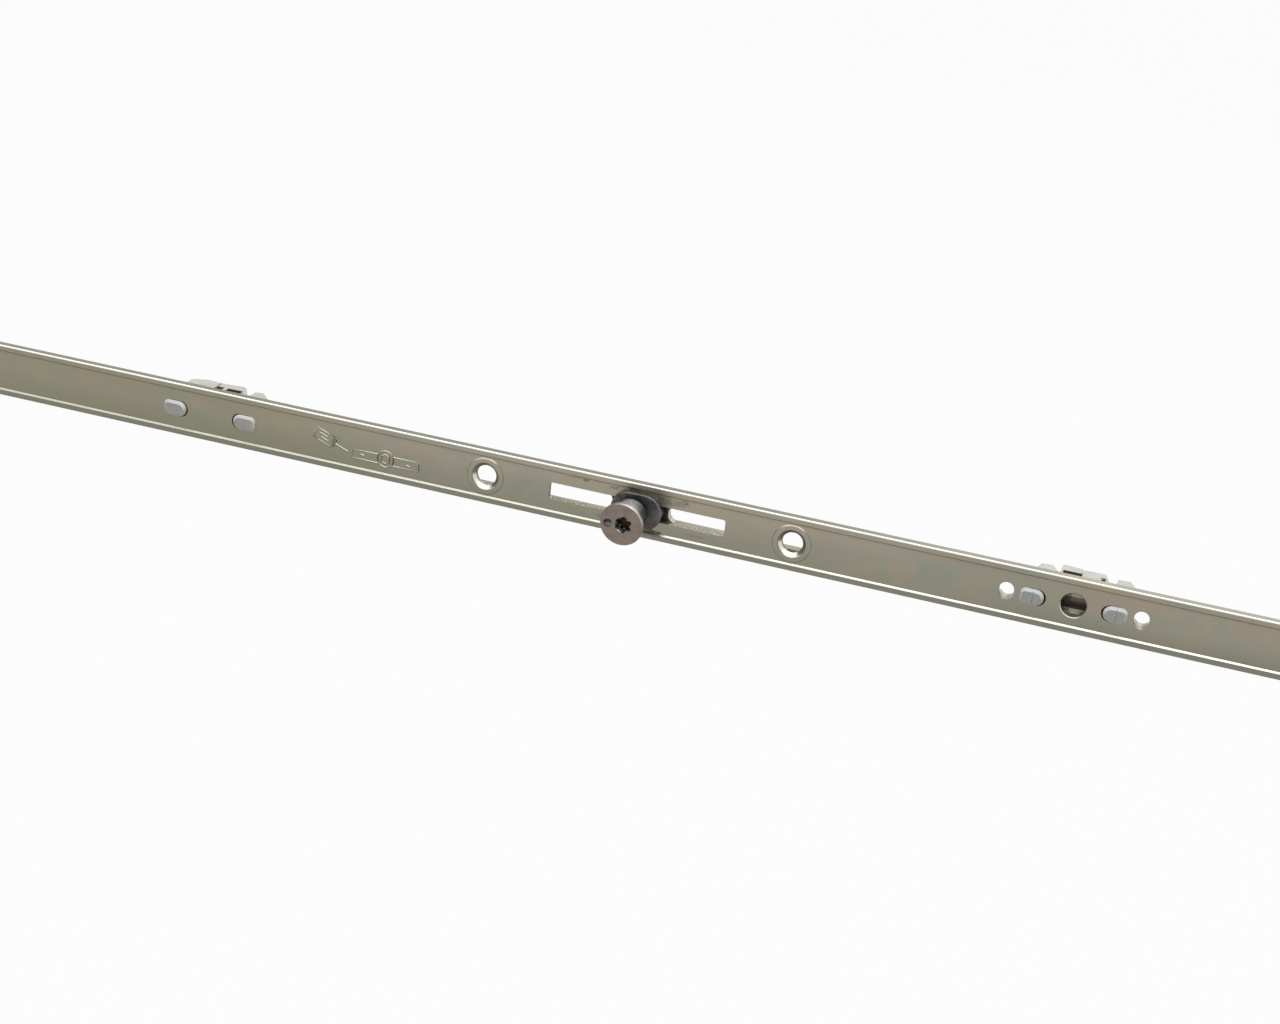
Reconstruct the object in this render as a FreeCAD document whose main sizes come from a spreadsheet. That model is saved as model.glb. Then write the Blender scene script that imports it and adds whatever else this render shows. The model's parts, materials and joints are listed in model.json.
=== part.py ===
import FreeCAD, Part
import math
import os
import Sketcher

# Window espagnolette: a slotted drive rod slides behind a 16 mm faceplate and carries an
# eccentric locking cam. A gearbox at the left turns a handle's quarter turn into 18 mm of travel.
# +X runs along the rail, -Y points out of the faceplate's front, +Z goes across its width.
# The origin is midway between the two screws beside the cam, on the faceplate's back plane.
# Depths are counted back from the front plane of the rims, which each piece's placement moves
# forward by the faceplate's thickness.

os.makedirs("parts", exist_ok=True)
doc = FreeCAD.newDocument("espagnolette")
sheet = doc.addObject("Spreadsheet::Sheet", "Sizes")


class Size:
    """A length that knows its number and the sheet expression that it comes from."""

    def __init__(self, value, text):
        self.value = value
        self.text = text

    def _join(self, other, sign, value):
        return Size(value, "(%s %s %s)" % (self.text, sign, other.text))

    def __add__(self, other):
        other = size(other)
        return self._join(other, "+", self.value + other.value)

    def __sub__(self, other):
        other = size(other)
        return self._join(other, "-", self.value - other.value)

    def __mul__(self, other):
        other = size(other)
        return self._join(other, "*", self.value * other.value)

    def __truediv__(self, other):
        other = size(other)
        return self._join(other, "/", self.value / other.value)

    def __radd__(self, other):
        return size(other) + self

    def __rsub__(self, other):
        return size(other) - self

    def __rmul__(self, other):
        return size(other) * self

    def __neg__(self):
        return size(0) - self


def size(value):
    """Turn a plain number into a Size; a Size stays as it is."""
    return value if isinstance(value, Size) else Size(float(value), "%.6g" % value)


def drive(alias, value, note):
    """Put one driving dimension into the sheet and hand back its Size."""
    drive.row += 1
    sheet.set("A%d" % drive.row, note)
    sheet.set("B%d" % drive.row, "%g" % value)
    sheet.setAlias("B%d" % drive.row, alias)
    return Size(float(value), "Sizes." + alias)


drive.row = 0

# Faceplate
rail_left = drive("rail_left", -422, "left end of the faceplate")
rail_right = drive("rail_right", 292, "right end of the faceplate")
rail_width = drive("rail_width", 16, "faceplate width")
rail_thick = drive("rail_thick", 2.4, "faceplate thickness over the rims")
recess = drive("recess", 0.5, "depth of the recessed centre")
rim_width = drive("rim_width", 1.7, "flat width of each raised rim")
rim_slope = drive("rim_slope", 0.4, "width of the step beside a rim")
rim_round = drive("rim_round", 0.35, "rounding of the outer front corners")
slot_length = drive("slot_length", 52, "cam slot length")
slot_height = drive("slot_height", 5, "cam slot height")
screw_hole = drive("screw_hole", 3, "screw hole radius")
screw_ring = drive("screw_ring", 5.6, "radius of the raised ring round a screw hole")
ring_rise = drive("ring_rise", 0.2, "rise of that ring")
sink = drive("sink", 1.1, "depth of the screw hole's countersink")
screw_middle = drive("screw_middle", 45.3, "screws beside the cam, from the middle")
screw_end_right = drive("screw_end_right", 284, "screw at the right end")
screw_end_left = drive("screw_end_left", -414.5, "screw at the left end")
screw_gear_right = drive("screw_gear_right", -218, "screw right of the gearbox")
screw_gear_left = drive("screw_gear_left", -349, "screw left of the gearbox")

# Drive rod
play = drive("play", 0.05, "running clearance of sliding faces")
rod_left = drive("rod_left", -391, "left end of the rod")
rod_right = drive("rod_right", 260, "right end of the rod")
rod_width = drive("rod_width", 9.9, "rod width")
rod_thick = drive("rod_thick", 2.5, "rod thickness")
travel = drive("travel", 18, "rod travel each way")
tab_slot = drive("tab_slot", 3.4, "rod slot height at a clip")
post_slot = drive("post_slot", 4.6, "rod slot height at posts and screws")
tall_slot = drive("tall_slot", 6.4, "rod slot height left of the cam")
cam_land_left = drive("cam_land_left", -7.6, "solid part under the cam, left end")
cam_land_right = drive("cam_land_right", 9, "solid part under the cam, right end")

# Guide clips
clip_left = drive("clip_left", -132, "left clip position")
clip_right = drive("clip_right", 123.4, "right clip position")
clip_end = drive("clip_end", 205, "end clip position")
clip_width = drive("clip_width", 11.6, "clip width")
clip_spine = drive("clip_spine", 2.15, "thickness of the clip behind the rod")
tab_offset = drive("tab_offset", 11.25, "tab centre from the clip's middle")
tab_length = drive("tab_length", 6.6, "tab head length")
tab_height = drive("tab_height", 4.7, "tab head height")
tab_corner = drive("tab_corner", 1.6, "corner radius at a tab head's outer end")
left_tab_length = drive("left_tab_length", 7.15, "tab head length of the left clip")
left_tab_shift = drive("left_tab_shift", -0.3, "sideways shift of the left clip's tabs")
tab_rise = drive("tab_rise", 1, "tab head above the recess")
port_offset = drive("port_offset", 18.2, "upright oblong hole from the clip's middle")
port_width = drive("port_width", 4.1, "upright oblong hole width")
port_height = drive("port_height", 5.2, "upright oblong hole height")
peep_radius = drive("peep_radius", 3.45, "round hole between the right clip's tabs")

# Cam
cam_place = drive("cam_place", 0.35, "cam axis from the middle, at rest")
collar_length = drive("collar_length", 14.9, "collar length")
collar_height = drive("collar_height", 10.6, "collar height")
collar_rise = drive("collar_rise", 1.6, "collar front above the recess")
head_radius = drive("head_radius", 6.2, "cam head radius")
head_front = drive("head_front", 12.2, "cam head face in front of the faceplate")
head_thick = drive("head_thick", 1.4, "cam head thickness")
roller_radius = drive("roller_radius", 4.5, "roller radius")
roller_foot = drive("roller_foot", 3.2, "roller's rear end in front of the faceplate")
foot_radius = drive("foot_radius", 4.1, "radius of the pin's foot between roller and collar")
journal_radius = drive("journal_radius", 3.6, "journal radius")
stem_radius = drive("stem_radius", 1.8, "stem radius")
offset = drive("offset", 0.6, "eccentricity of the head to the stem")
star_radius = drive("star_radius", 1.85, "star socket core radius")
star_lobe = drive("star_lobe", 0.65, "star socket lobe radius")
star_depth = drive("star_depth", 3, "star socket depth")
washer_radius = drive("washer_radius", 3, "friction washer radius")
washer_thick = drive("washer_thick", 0.65, "friction washer thickness")

# Gearbox
gear_x = drive("gear_x", -280, "follower axis along the rail")
backset = drive("backset", 15.5, "follower axis behind the front plane")
tooth_count = 15
tooth_pitch = drive("tooth_pitch", 4.8, "pitch of teeth and rod windows")
tooth_tip = drive("tooth_tip", 12.8, "tip radius of the follower's teeth")
tooth_root = drive("tooth_root", 10.2, "root radius of the follower's teeth")
gear_thick = drive("gear_thick", 5, "toothed disc thickness")
hub_radius = drive("hub_radius", 7.5, "follower hub radius")
square = drive("square", 7.1, "spindle square, across flats")
bush_radius = drive("bush_radius", 8.7, "outer radius of the follower bushes")
case_half = drive("case_half", 5.9, "half thickness of the case")
case_length = drive("case_length", 112, "case length")
case_back = drive("case_back", 30.2, "case back behind the front plane")
window_length = drive("window_length", 2.6, "rod window length")
window_height = drive("window_height", 5.4, "rod window height")
handle_pitch = drive("handle_pitch", 43, "distance between the handle screws")
handle_hole = drive("handle_hole", 2.1, "core radius of the handle screw thread")
handle_bush = drive("handle_bush", 3.95, "outer radius of a handle screw bush")
post_place = drive("post_place", 48.5, "posts from the follower axis")
post_radius = drive("post_radius", 2, "post radius")
rivet_radius = drive("rivet_radius", 1.45, "case rivet radius")

# End couplings
block_length = drive("block_length", 18, "coupling block length")
block_left = drive("block_left", -381, "middle of the left coupling block")
block_right = drive("block_right", 249, "middle of the right coupling block")
block_thick = drive("block_thick", 3.2, "coupling block thickness")
block_pin = drive("block_pin", 6.5, "coupling rivets from the block's middle")
doc.recompute()

rod_front = rail_thick + play
rod_back = rod_front + rod_thick
clip_back = rod_back + play + clip_spine
collar_front = recess - collar_rise
screw_places = [
    -screw_middle, screw_middle, screw_end_right, screw_end_left, screw_gear_right, screw_gear_left,
]


class Piece:
    """One named sub-part: a PartDesign body with helpers that bind every size to the sheet."""

    sides = {"XY": "z", "XZ": "y", "YZ": "x"}

    def __init__(self, name, place=(0, 0, 0)):
        self.body = doc.addObject("PartDesign::Body", name)
        self.body.Label = name
        self.name = name
        x, y, z = place
        for axis, value in (("x", x), ("y", y - rail_thick), ("z", z)):
            self.body.setExpression("Placement.Base." + axis, size(value).text)
        self.count = 0

    def origin(self, role):
        return [f for f in self.body.Origin.OriginFeatures if f.Role == role][0]

    def sketch(self, plane, level):
        """A sketch on one of the body's own planes, moved to a level along that plane's axis."""
        self.count += 1
        sketch = self.body.newObject("Sketcher::SketchObject", "%s_sketch_%d" % (self.name, self.count))
        sketch.AttachmentSupport = [(self.origin(plane + "_Plane"), "")]
        sketch.MapMode = "FlatFace"
        shift = -size(level) if plane == "XZ" else size(level)
        sketch.setExpression("AttachmentOffset.Base.z", shift.text)
        return sketch

    def pad(self, plane, low, high, *shapes):
        """Add the drawn shapes between two levels along the plane's axis."""
        sketch = self.sketch(plane, high if plane == "XZ" else low)
        for shape in shapes:
            shape(sketch)
        feature = self.body.newObject("PartDesign::Pad", "%s_pad_%d" % (self.name, self.count))
        feature.Profile = sketch
        feature.setExpression("Length", (size(high) - low).text)
        doc.recompute()
        return feature

    def cut(self, plane, low, high, *shapes):
        """Remove the drawn shapes between two levels, and make sure that something went."""
        before = self.body.Shape.Volume
        sketch = self.sketch(plane, low if plane == "XZ" else high)
        for shape in shapes:
            shape(sketch)
        feature = self.body.newObject("PartDesign::Pocket", "%s_pocket_%d" % (self.name, self.count))
        feature.Profile = sketch
        feature.setExpression("Length", (size(high) - low).text)
        doc.recompute()
        if self.body.Shape.Volume > before - 1e-4:
            raise RuntimeError("%s: pocket %d cuts nothing" % (self.name, self.count))
        return feature

    def soften(self, kind, amount, wanted):
        """Round ("Fillet") or bevel ("Chamfer") the edges that a test picks."""
        self.count += 1
        base = self.body.Tip
        names = ["Edge%d" % (i + 1) for i, edge in enumerate(base.Shape.Edges) if wanted(edge)]
        if not names:
            raise RuntimeError("%s: no edge to soften" % self.name)
        label = "%s_%s_%d" % (self.name, kind.lower(), self.count)
        feature = self.body.newObject("PartDesign::" + kind, label)
        feature.Base = (base, names)
        feature.setExpression("Radius" if kind == "Fillet" else "Size", size(amount).text)
        doc.recompute()
        return feature

    def repeat(self, kind, feature, **settings):
        """Repeat a feature in a polar or linear pattern."""
        pattern = self.body.newObject("PartDesign::" + kind, "%s_pattern_%d" % (self.name, self.count))
        pattern.Originals = [feature]
        for key, value in settings.items():
            setattr(pattern, key, value)
        self.body.Tip = pattern
        doc.recompute()
        return pattern


def pin_point(sketch, geometry, position, x, y):
    """Hold one point of a sketch at a place that the sheet gives."""
    for kind, value in (("DistanceX", x), ("DistanceY", y)):
        index = sketch.addConstraint(Sketcher.Constraint(kind, -1, 1, geometry, position, value.value))
        sketch.setExpression("Constraints[%d]" % index, value.text)


def hold_radius(sketch, geometry, radius):
    index = sketch.addConstraint(Sketcher.Constraint("Radius", geometry, radius.value))
    sketch.setExpression("Constraints[%d]" % index, radius.text)


def polygon(*corners):
    """A closed outline through the given corners."""
    corners = [(size(x), size(y)) for x, y in corners]

    def draw(sketch):
        points = [FreeCAD.Vector(x.value, y.value, 0) for x, y in corners]
        ends = points[1:] + points[:1]
        lines = [sketch.addGeometry(Part.LineSegment(a, b), False) for a, b in zip(points, ends)]
        for line, after in zip(lines, lines[1:] + lines[:1]):
            sketch.addConstraint(Sketcher.Constraint("Coincident", line, 2, after, 1))
        for line, (x, y) in zip(lines, corners):
            pin_point(sketch, line, 1, x, y)

    return draw


def rectangle(x_low, x_high, y_low, y_high):
    return polygon((x_low, y_low), (x_high, y_low), (x_high, y_high), (x_low, y_high))


def circle(x, y, radius):
    x, y, radius = size(x), size(y), size(radius)

    def draw(sketch):
        centre = FreeCAD.Vector(x.value, y.value, 0)
        ring = Part.Circle(centre, FreeCAD.Vector(0, 0, 1), radius.value)
        index = sketch.addGeometry(ring, False)
        pin_point(sketch, index, 3, x, y)
        hold_radius(sketch, index, radius)

    return draw


def oblong(x, y, length, height):
    """A slot outline with half-round ends; it stands upright when the height is the larger size."""
    x, y, length, height = size(x), size(y), size(length), size(height)
    upright = height.value > length.value
    radius = (length if upright else height) / 2
    reach = (height if upright else length) / 2 - radius
    turn = 90 if upright else 0

    def end(sign):
        return (x, y + reach * sign) if upright else (x + reach * sign, y)

    def draw(sketch):
        arcs = []
        for sign in (1, -1):
            at_x, at_y = end(sign)
            centre = FreeCAD.Vector(at_x.value, at_y.value, 0)
            ring = Part.Circle(centre, FreeCAD.Vector(0, 0, 1), radius.value)
            start = math.radians(turn - 90 * sign)
            arcs.append(sketch.addGeometry(Part.ArcOfCircle(ring, start, start + math.pi), False))
        lines = []
        for first, second in ((0, 1), (1, 0)):
            a = sketch.getPoint(arcs[first], 2)
            b = sketch.getPoint(arcs[second], 1)
            lines.append(sketch.addGeometry(Part.LineSegment(a, b), False))
        for line, first, second in ((lines[0], 0, 1), (lines[1], 1, 0)):
            sketch.addConstraint(Sketcher.Constraint("Tangent", arcs[first], 2, line, 1))
            sketch.addConstraint(Sketcher.Constraint("Tangent", line, 2, arcs[second], 1))
        for arc, sign in zip(arcs, (1, -1)):
            pin_point(sketch, arc, 3, *end(sign))
        hold_radius(sketch, arcs[0], radius)

    return draw


def slot_between(left, right, height):
    """A slot whose round ends reach the two given places."""
    left, right = size(left), size(right)
    return oblong((left + right) / 2, 0, right - left, height)


def is_ring(radius, y, slack=0.01):
    """Pick the full circles of one radius at one level behind the front plane."""

    def test(edge):
        curve = edge.Curve
        if curve.TypeId != "Part::GeomCircle" or abs(curve.Radius - size(radius).value) > slack:
            return False
        return abs(edge.CenterOfMass.y - size(y).value) < slack

    return test


def lies_in(y, along=None):
    """Pick the edges that lie wholly at one level behind the front plane."""

    def test(edge):
        box = edge.BoundBox
        level = size(y).value
        flat = abs(box.YMin - level) < 0.01 and abs(box.YMax - level) < 0.01
        return flat and (along is None or along(edge))

    return test


def stands_at(x, z):
    """Pick the front-to-back edges at one place along the piece and at both sides of its middle."""

    def test(edge):
        at = edge.CenterOfMass
        close = abs(at.x - size(x).value) < 0.01 and abs(abs(at.z) - size(z).value) < 0.01
        return close and edge.BoundBox.YLength > 0.5

    return test


def make_faceplate():
    """Rolled strip with a recessed centre, the cam slot, the clip holes and the screw holes."""
    piece = Piece("faceplate")
    edge = rail_width / 2
    inner = edge - rim_width
    foot = inner - rim_slope
    profile = polygon(
        (0, edge), (0, inner), (recess, foot), (recess, -foot), (0, -inner), (0, -edge),
        (rail_thick, -edge), (rail_thick, edge),
    )
    piece.pad("YZ", rail_left, rail_right, profile)
    outer = [edge.value, -edge.value]
    long_edge = rail_right.value - rail_left.value - 1
    piece.soften("Fillet", rim_round, lambda e: e.Length > long_edge and abs(e.CenterOfMass.y) < 0.01
                 and min(abs(e.CenterOfMass.z - z) for z in outer) < 0.01)
    piece.pad("XZ", recess - ring_rise, rail_thick, *[circle(x, 0, screw_ring) for x in screw_places])
    piece.soften("Chamfer", ring_rise * 0.9, is_ring(screw_ring, recess - ring_rise))
    half = slot_length / 2
    piece.cut("XZ", -1, rail_thick + 1, rectangle(-half, half, -slot_height / 2, slot_height / 2))
    corner = half.value - 0.01
    piece.soften("Fillet", 0.7, lambda e: abs(abs(e.CenterOfMass.x) - corner) < 0.05
                 and abs(abs(e.CenterOfMass.z) - slot_height.value / 2) < 0.05
                 and e.BoundBox.YLength > 1)
    piece.cut("XZ", -1, rail_thick + 1, *[circle(x, 0, screw_hole) for x in screw_places])
    piece.soften("Chamfer", sink, is_ring(screw_hole, recess - ring_rise))
    holes = []
    for middle, length in ((clip_left + left_tab_shift, left_tab_length), (clip_right, tab_length),
                           (clip_end, tab_length)):
        for side in (-1, 1):
            holes.append(oblong(middle + (tab_offset - 0.3) * side, 0, length + 0.4, tab_height + 0.2))
    piece.cut("XZ", -1, rail_thick + 1, *holes)
    ports = [oblong(clip_right + port_offset * side, 0, port_width, port_height) for side in (-1, 1)]
    posts = [circle(gear_x + post_place * side, 0, post_radius + play) for side in (-1, 1)]
    piece.cut("XZ", -1, rail_thick + 1, circle(clip_right, 0, peep_radius), *ports, *posts)
    piece.soften("Chamfer", 0.25, is_ring(peep_radius, recess))
    return piece


def make_drive_rod():
    """Flat bar with slots for tabs, posts, screws and the cam slot, and windows for the follower."""
    piece = Piece("drive_rod")
    half = rod_width / 2
    piece.pad("YZ", rod_left, rod_right, rectangle(rod_front, rod_back, -half, half))
    reach = travel + 2.5
    tabs = tab_offset + tab_length / 2 + travel + 1.6
    clips = (clip_left, clip_right, clip_end)
    slots = [slot_between(middle - tabs, middle + tabs, tab_slot) for middle in clips]
    slots.append(slot_between(-screw_middle - reach - 1, cam_land_left, tall_slot))
    slots.append(slot_between(cam_land_right + 3, screw_middle + reach + 1, slot_height))
    slots.append(slot_between(gear_x + post_place - reach, screw_gear_right + reach, post_slot))
    slots.append(slot_between(screw_gear_left - reach, gear_x - post_place + reach, post_slot))
    piece.cut("XZ", 0, rod_back + 1, *slots)
    square_end = rectangle(cam_land_right, cam_land_right + 6, -slot_height / 2, slot_height / 2)
    piece.cut("XZ", 0, rod_back + 1, square_end)
    corner = cam_land_right.value
    piece.soften("Fillet", 2.2, lambda e: abs(e.CenterOfMass.x - corner) < 0.01 and e.BoundBox.YLength > 1)
    spots = [clip_right + port_offset * side for side in (-1, 1)]
    piece.cut("XZ", 0, rod_back + 1, *[oblong(x, 0, port_width + 0.1, port_height + 0.1) for x in spots])
    window = rectangle(
        gear_x - tooth_pitch * 5 - window_length / 2, gear_x - tooth_pitch * 5 + window_length / 2,
        -window_height / 2, window_height / 2,
    )
    first = piece.cut("XZ", 0, rod_back + 1, window)
    row = piece.repeat("LinearPattern", first, Direction=(piece.origin("X_Axis"), [""]), Occurrences=11)
    row.setExpression("Length", (tooth_pitch * 10).text)
    doc.recompute()
    holes = [circle(cam_place + side * 5, 0, 1.2) for side in (-1, 1)]
    holes.append(circle(cam_place, 0, stem_radius + play))
    for middle in (block_left, block_right):
        holes.extend([circle(middle + block_pin * side, 0, 1.5) for side in (-1, 1)])
    piece.cut("XZ", 0, rod_back + 1, *holes)
    return piece


def make_cam_collar():
    """Oblong slide block: flange on the faceplate, guide in the slot, two pegs peened behind the rod."""
    piece = Piece("cam_collar", (cam_place, 0, 0))
    piece.pad("XZ", collar_front, recess - play, oblong(0, 0, collar_length, collar_height))
    piece.soften("Fillet", 0.45, lies_in(collar_front))
    guide = slot_height - play * 2
    piece.pad("XZ", recess - play - 0.2, rod_front, oblong(0, 0, collar_length, guide))
    piece.pad("XZ", rod_front - 0.2, rod_back, *[circle(side * 5, 0, 1.15) for side in (-1, 1)])
    piece.pad("XZ", rod_back, rod_back + 0.55, *[circle(side * 5, 0, 1.65) for side in (-1, 1)])
    piece.cut("XZ", collar_front - 1, rod_front + 1, circle(0, 0, stem_radius + play))
    return piece


def make_cam_pin():
    """Mushroom pin: head, journal and foot sit off the stem's axis, so a key in the star shifts them."""
    piece = Piece("cam_pin", (cam_place, 0, 0))
    shoulder = collar_front - play
    head_back = head_thick - head_front
    end = rod_back + play + washer_thick
    piece.pad("XZ", head_back, shoulder, circle(-offset, 0, journal_radius))
    piece.pad("XZ", -head_front, head_back, circle(-offset, 0, head_radius))
    piece.pad("XZ", play - roller_foot, shoulder, circle(-offset, 0, foot_radius))
    piece.soften("Chamfer", 0.35, is_ring(head_radius, -head_front))
    piece.soften("Fillet", 0.3, is_ring(head_radius, head_back))
    piece.pad("XZ", shoulder - 0.2, end, circle(0, 0, stem_radius))
    piece.pad("XZ", end, end + 0.6, circle(0, 0, stem_radius + 0.6))
    piece.soften("Fillet", 0.25, is_ring(stem_radius + 0.6, end + 0.6))
    piece.cut("XZ", -head_front - 1, star_depth - head_front, circle(0, 0, star_radius))
    lobe = piece.cut("XZ", -head_front - 1, star_depth - head_front, circle(0, star_radius, star_lobe))
    star = piece.repeat("PolarPattern", lobe, Axis=(piece.origin("Y_Axis"), [""]), Occurrences=6)
    star.Angle = 360
    piece.cut("XZ", -head_front - 1, 0.9 - head_front, circle(-offset - 3.9, -0.25, 1.25))
    return piece


def make_ring(name, axis_x, low, high, inside, outside, bevel=0):
    """A plain ring about an axis that runs front to back, beside the stem's axis."""
    piece = Piece(name, (cam_place, 0, 0))
    piece.pad("XZ", low, high, circle(axis_x, 0, outside))
    if bevel:
        piece.soften("Chamfer", bevel, lambda e: is_ring(outside, low)(e) or is_ring(outside, high)(e))
    piece.cut("XZ", low - 1, high + 1, circle(axis_x, 0, inside))
    return piece


def make_guide_clip(name, middle, fins, windows, cores, seam, length=tab_length, shift=0):
    """Moulded clip: a spine behind the rod, side rails beside it, fins at the back, two snap tabs."""
    piece = Piece(name, (middle, 0, 0))
    side = clip_width / 2
    spine_front = rod_back + play
    ends = (-13.0, 15.4)
    piece.pad("XY", -side, side, rectangle(ends[0], ends[1], spine_front, clip_back))
    inner = rod_width / 2 + play
    rails = [rectangle(ends[0], ends[1], inner, side), rectangle(ends[0], ends[1], -side, -inner)]
    piece.pad("XZ", rod_front, spine_front + 0.3, *rails)
    shapes = [polygon(*[(x, clip_back + rise) for x, rise in outline]) for outline in fins]
    piece.pad("XY", -side, side, *shapes)
    shapes = [polygon(*[(x, clip_back + rise) for x, rise in outline]) for outline in windows]
    piece.cut("XY", -side - 1, side + 1, *shapes)
    hollows = [rectangle(low, high, -side + 1.2, side - 1.2) for low, high in cores]
    piece.cut("XZ", clip_back + 3.4, clip_back + 8, *hollows)
    stem = length - 0.8
    for sign in (-1, 1):
        at = tab_offset * sign + shift
        waist = rectangle(at - stem / 2, at + stem / 2, -1.5, 1.5)
        piece.pad("XZ", rail_thick, spine_front + 0.3, waist)
        piece.pad("XZ", recess, rail_thick, oblong(at - sign * 0.2, 0, stem, tab_height - 0.2))
        piece.pad("XZ", recess - tab_rise, recess, oblong(at, 0, length, tab_height))
        outer = at + sign * length / 2
        low, high = (at, outer) if sign > 0 else (outer, at)
        block = rectangle(low, high, -tab_height / 2, tab_height / 2)
        piece.pad("XZ", recess - tab_rise, recess, block)
        piece.soften("Fillet", tab_corner, stands_at(outer, tab_height / 2))
    piece.soften("Chamfer", 0.75, lies_in(recess - tab_rise))
    if seam:
        lines = [rectangle(tab_offset * sign + 0.2, tab_offset * sign + 0.4, -3, 3) for sign in (-1, 1)]
        piece.cut("XZ", recess - tab_rise - 1, recess - tab_rise + 0.35, *lines)
    return piece


def case_outline():
    """The case seen along the follower's axis, from its flat front to its tapered back."""
    half = case_length / 2
    front = rod_back + 0.15
    return polygon(
        (-half, front), (half, front), (half, 13), (half - 18, case_back - 6.2), (21, case_back),
        (-21, case_back), (18 - half, case_back - 6.2), (-half, 13),
    )


def rivet_spots():
    """Where the four rivets clamp the case halves, seen along the follower's axis."""
    return [(side * x, y) for side in (-1, 1) for x, y in ((53, 9.2), (29, 23.4))]


def make_case_half(name, sign):
    """One half of the case: a tray round the follower with seats for bush, screws, rivets and posts."""
    piece = Piece(name, (gear_x, 0, 0))

    def span(near, far):
        near, far = size(near), size(far)
        return (near, far) if sign > 0 else (-far, -near)

    piece.pad("XY", *span(0, case_half), case_outline())
    rim = case_half.value * sign
    piece.soften("Chamfer", 0.6, lambda e: abs(e.CenterOfMass.z - rim) < 0.01 and e.BoundBox.ZLength < 0.01)
    piece.cut("XY", *span(-1, gear_thick / 2 + 0.25), circle(0, backset, tooth_tip + 0.6))
    through = [circle(0, backset, bush_radius)]
    through.extend([circle(handle_pitch / 2 * side, backset, handle_bush + 0.05) for side in (-1, 1)])
    through.extend([circle(x, y, rivet_radius + 0.05) for x, y in rivet_spots()])
    piece.cut("XY", *span(-1, case_half + 1), *through)
    piece.cut("XY", *span(case_half - 0.75, case_half + 1), *[circle(x, y, 2.35) for x, y in rivet_spots()])
    panels = [rectangle(side * 34.5 - 6, side * 34.5 + 6, 8.2, 18.5) for side in (-1, 1)]
    piece.cut("XY", *span(case_half - 0.8, case_half + 1), *panels)
    front = rod_back - 1
    spots = [post_place * side for side in (-1, 1)]
    piece.cut("XZ", front, 11.05, *[circle(x, 0, post_radius + 0.05) for x in spots])
    piece.cut("XZ", 9, 11.05, *[circle(x, 0, 3.05) for x in spots])
    return piece


def make_case_rivets():
    """Four rivets through both case halves, with sunk heads."""
    piece = Piece("case_rivets", (gear_x, 0, 0))
    end = case_half - 0.1
    piece.pad("XY", -end, end, *[circle(x, y, rivet_radius) for x, y in rivet_spots()])
    piece.pad("XY", end - 0.6, end, *[circle(x, y, 2.3) for x, y in rivet_spots()])
    piece.pad("XY", -end, 0.6 - end, *[circle(x, y, 2.3) for x, y in rivet_spots()])
    return piece


def make_gearbox_posts():
    """Two posts that carry the case on the faceplate, riveted in front and footed in the case."""
    piece = Piece("gearbox_posts", (gear_x, 0, 0))
    spots = [post_place * side for side in (-1, 1)]
    piece.pad("XZ", recess - 0.1, 11, *[circle(x, 0, post_radius) for x in spots])
    piece.pad("XZ", recess - 0.5, recess, *[circle(x, 0, 3.2) for x in spots])
    piece.soften("Fillet", 0.35, is_ring(3.2, recess - 0.5))
    piece.pad("XZ", 9.05, 11, *[circle(x, 0, 3) for x in spots])
    return piece


def make_follower():
    """Pinion whose teeth stand in the rod's windows, with the square hole for the handle's spindle."""
    piece = Piece("follower", (gear_x, backset, 0))
    half = gear_thick / 2
    piece.pad("XY", -half, half, circle(0, 0, tooth_root))
    foot = 0.4 - tooth_root
    tooth = polygon((-1.15, foot), (1.15, foot), (0.55, -tooth_tip), (-0.55, -tooth_tip))
    first = piece.pad("XY", -half, half, tooth)
    crown = piece.repeat("PolarPattern", first, Axis=(piece.origin("Z_Axis"), [""]), Occurrences=tooth_count)
    crown.Angle = 360
    doc.recompute()
    piece.pad("XY", -case_half, case_half, circle(0, 0, hub_radius))
    flat = square / 2
    piece.cut("XY", -case_half - 1, case_half + 1, rectangle(-flat, flat, -flat, flat))
    return piece


def make_follower_bush(name, sign):
    """Plastic ring between the follower's hub and one case half."""
    piece = Piece(name, (gear_x, backset, 0))
    near, far = gear_thick / 2 + 0.1, case_half
    low, high = (near, far) if sign > 0 else (-far, -near)
    piece.pad("XY", low, high, circle(0, 0, bush_radius))
    piece.cut("XY", low - 1, high + 1, circle(0, 0, hub_radius + play))
    return piece


def make_handle_screw_bushes():
    """Two threaded bushes for the handle's screws."""
    piece = Piece("handle_screw_bushes", (gear_x, backset, 0))
    spots = [handle_pitch / 2 * side for side in (-1, 1)]
    piece.pad("XY", -case_half, case_half, *[circle(x, 0, handle_bush) for x in spots])
    piece.cut("XY", -case_half - 1, case_half + 1, *[circle(x, 0, handle_hole) for x in spots])
    return piece


def make_end_coupling(name, middle):
    """Block with cross teeth behind the rod's end, for the next drive part to grip."""
    piece = Piece(name, (middle, 0, 0))
    half = block_length / 2
    back = rod_back + block_thick
    piece.pad("XY", -4.6, 4.6, rectangle(-half, half, rod_back, back))
    groove = polygon((-4.8, back + 0.1), (-4, back - 0.8), (-3.2, back + 0.1))
    first = piece.cut("XY", -6, 6, groove)
    row = piece.repeat("LinearPattern", first, Direction=(piece.origin("X_Axis"), [""]), Occurrences=5)
    row.Length = 8
    doc.recompute()
    spots = [block_pin * side for side in (-1, 1)]
    piece.cut("XZ", rod_back - 1, back + 1, *[circle(x, 0, 1.5) for x in spots])
    return piece


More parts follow.
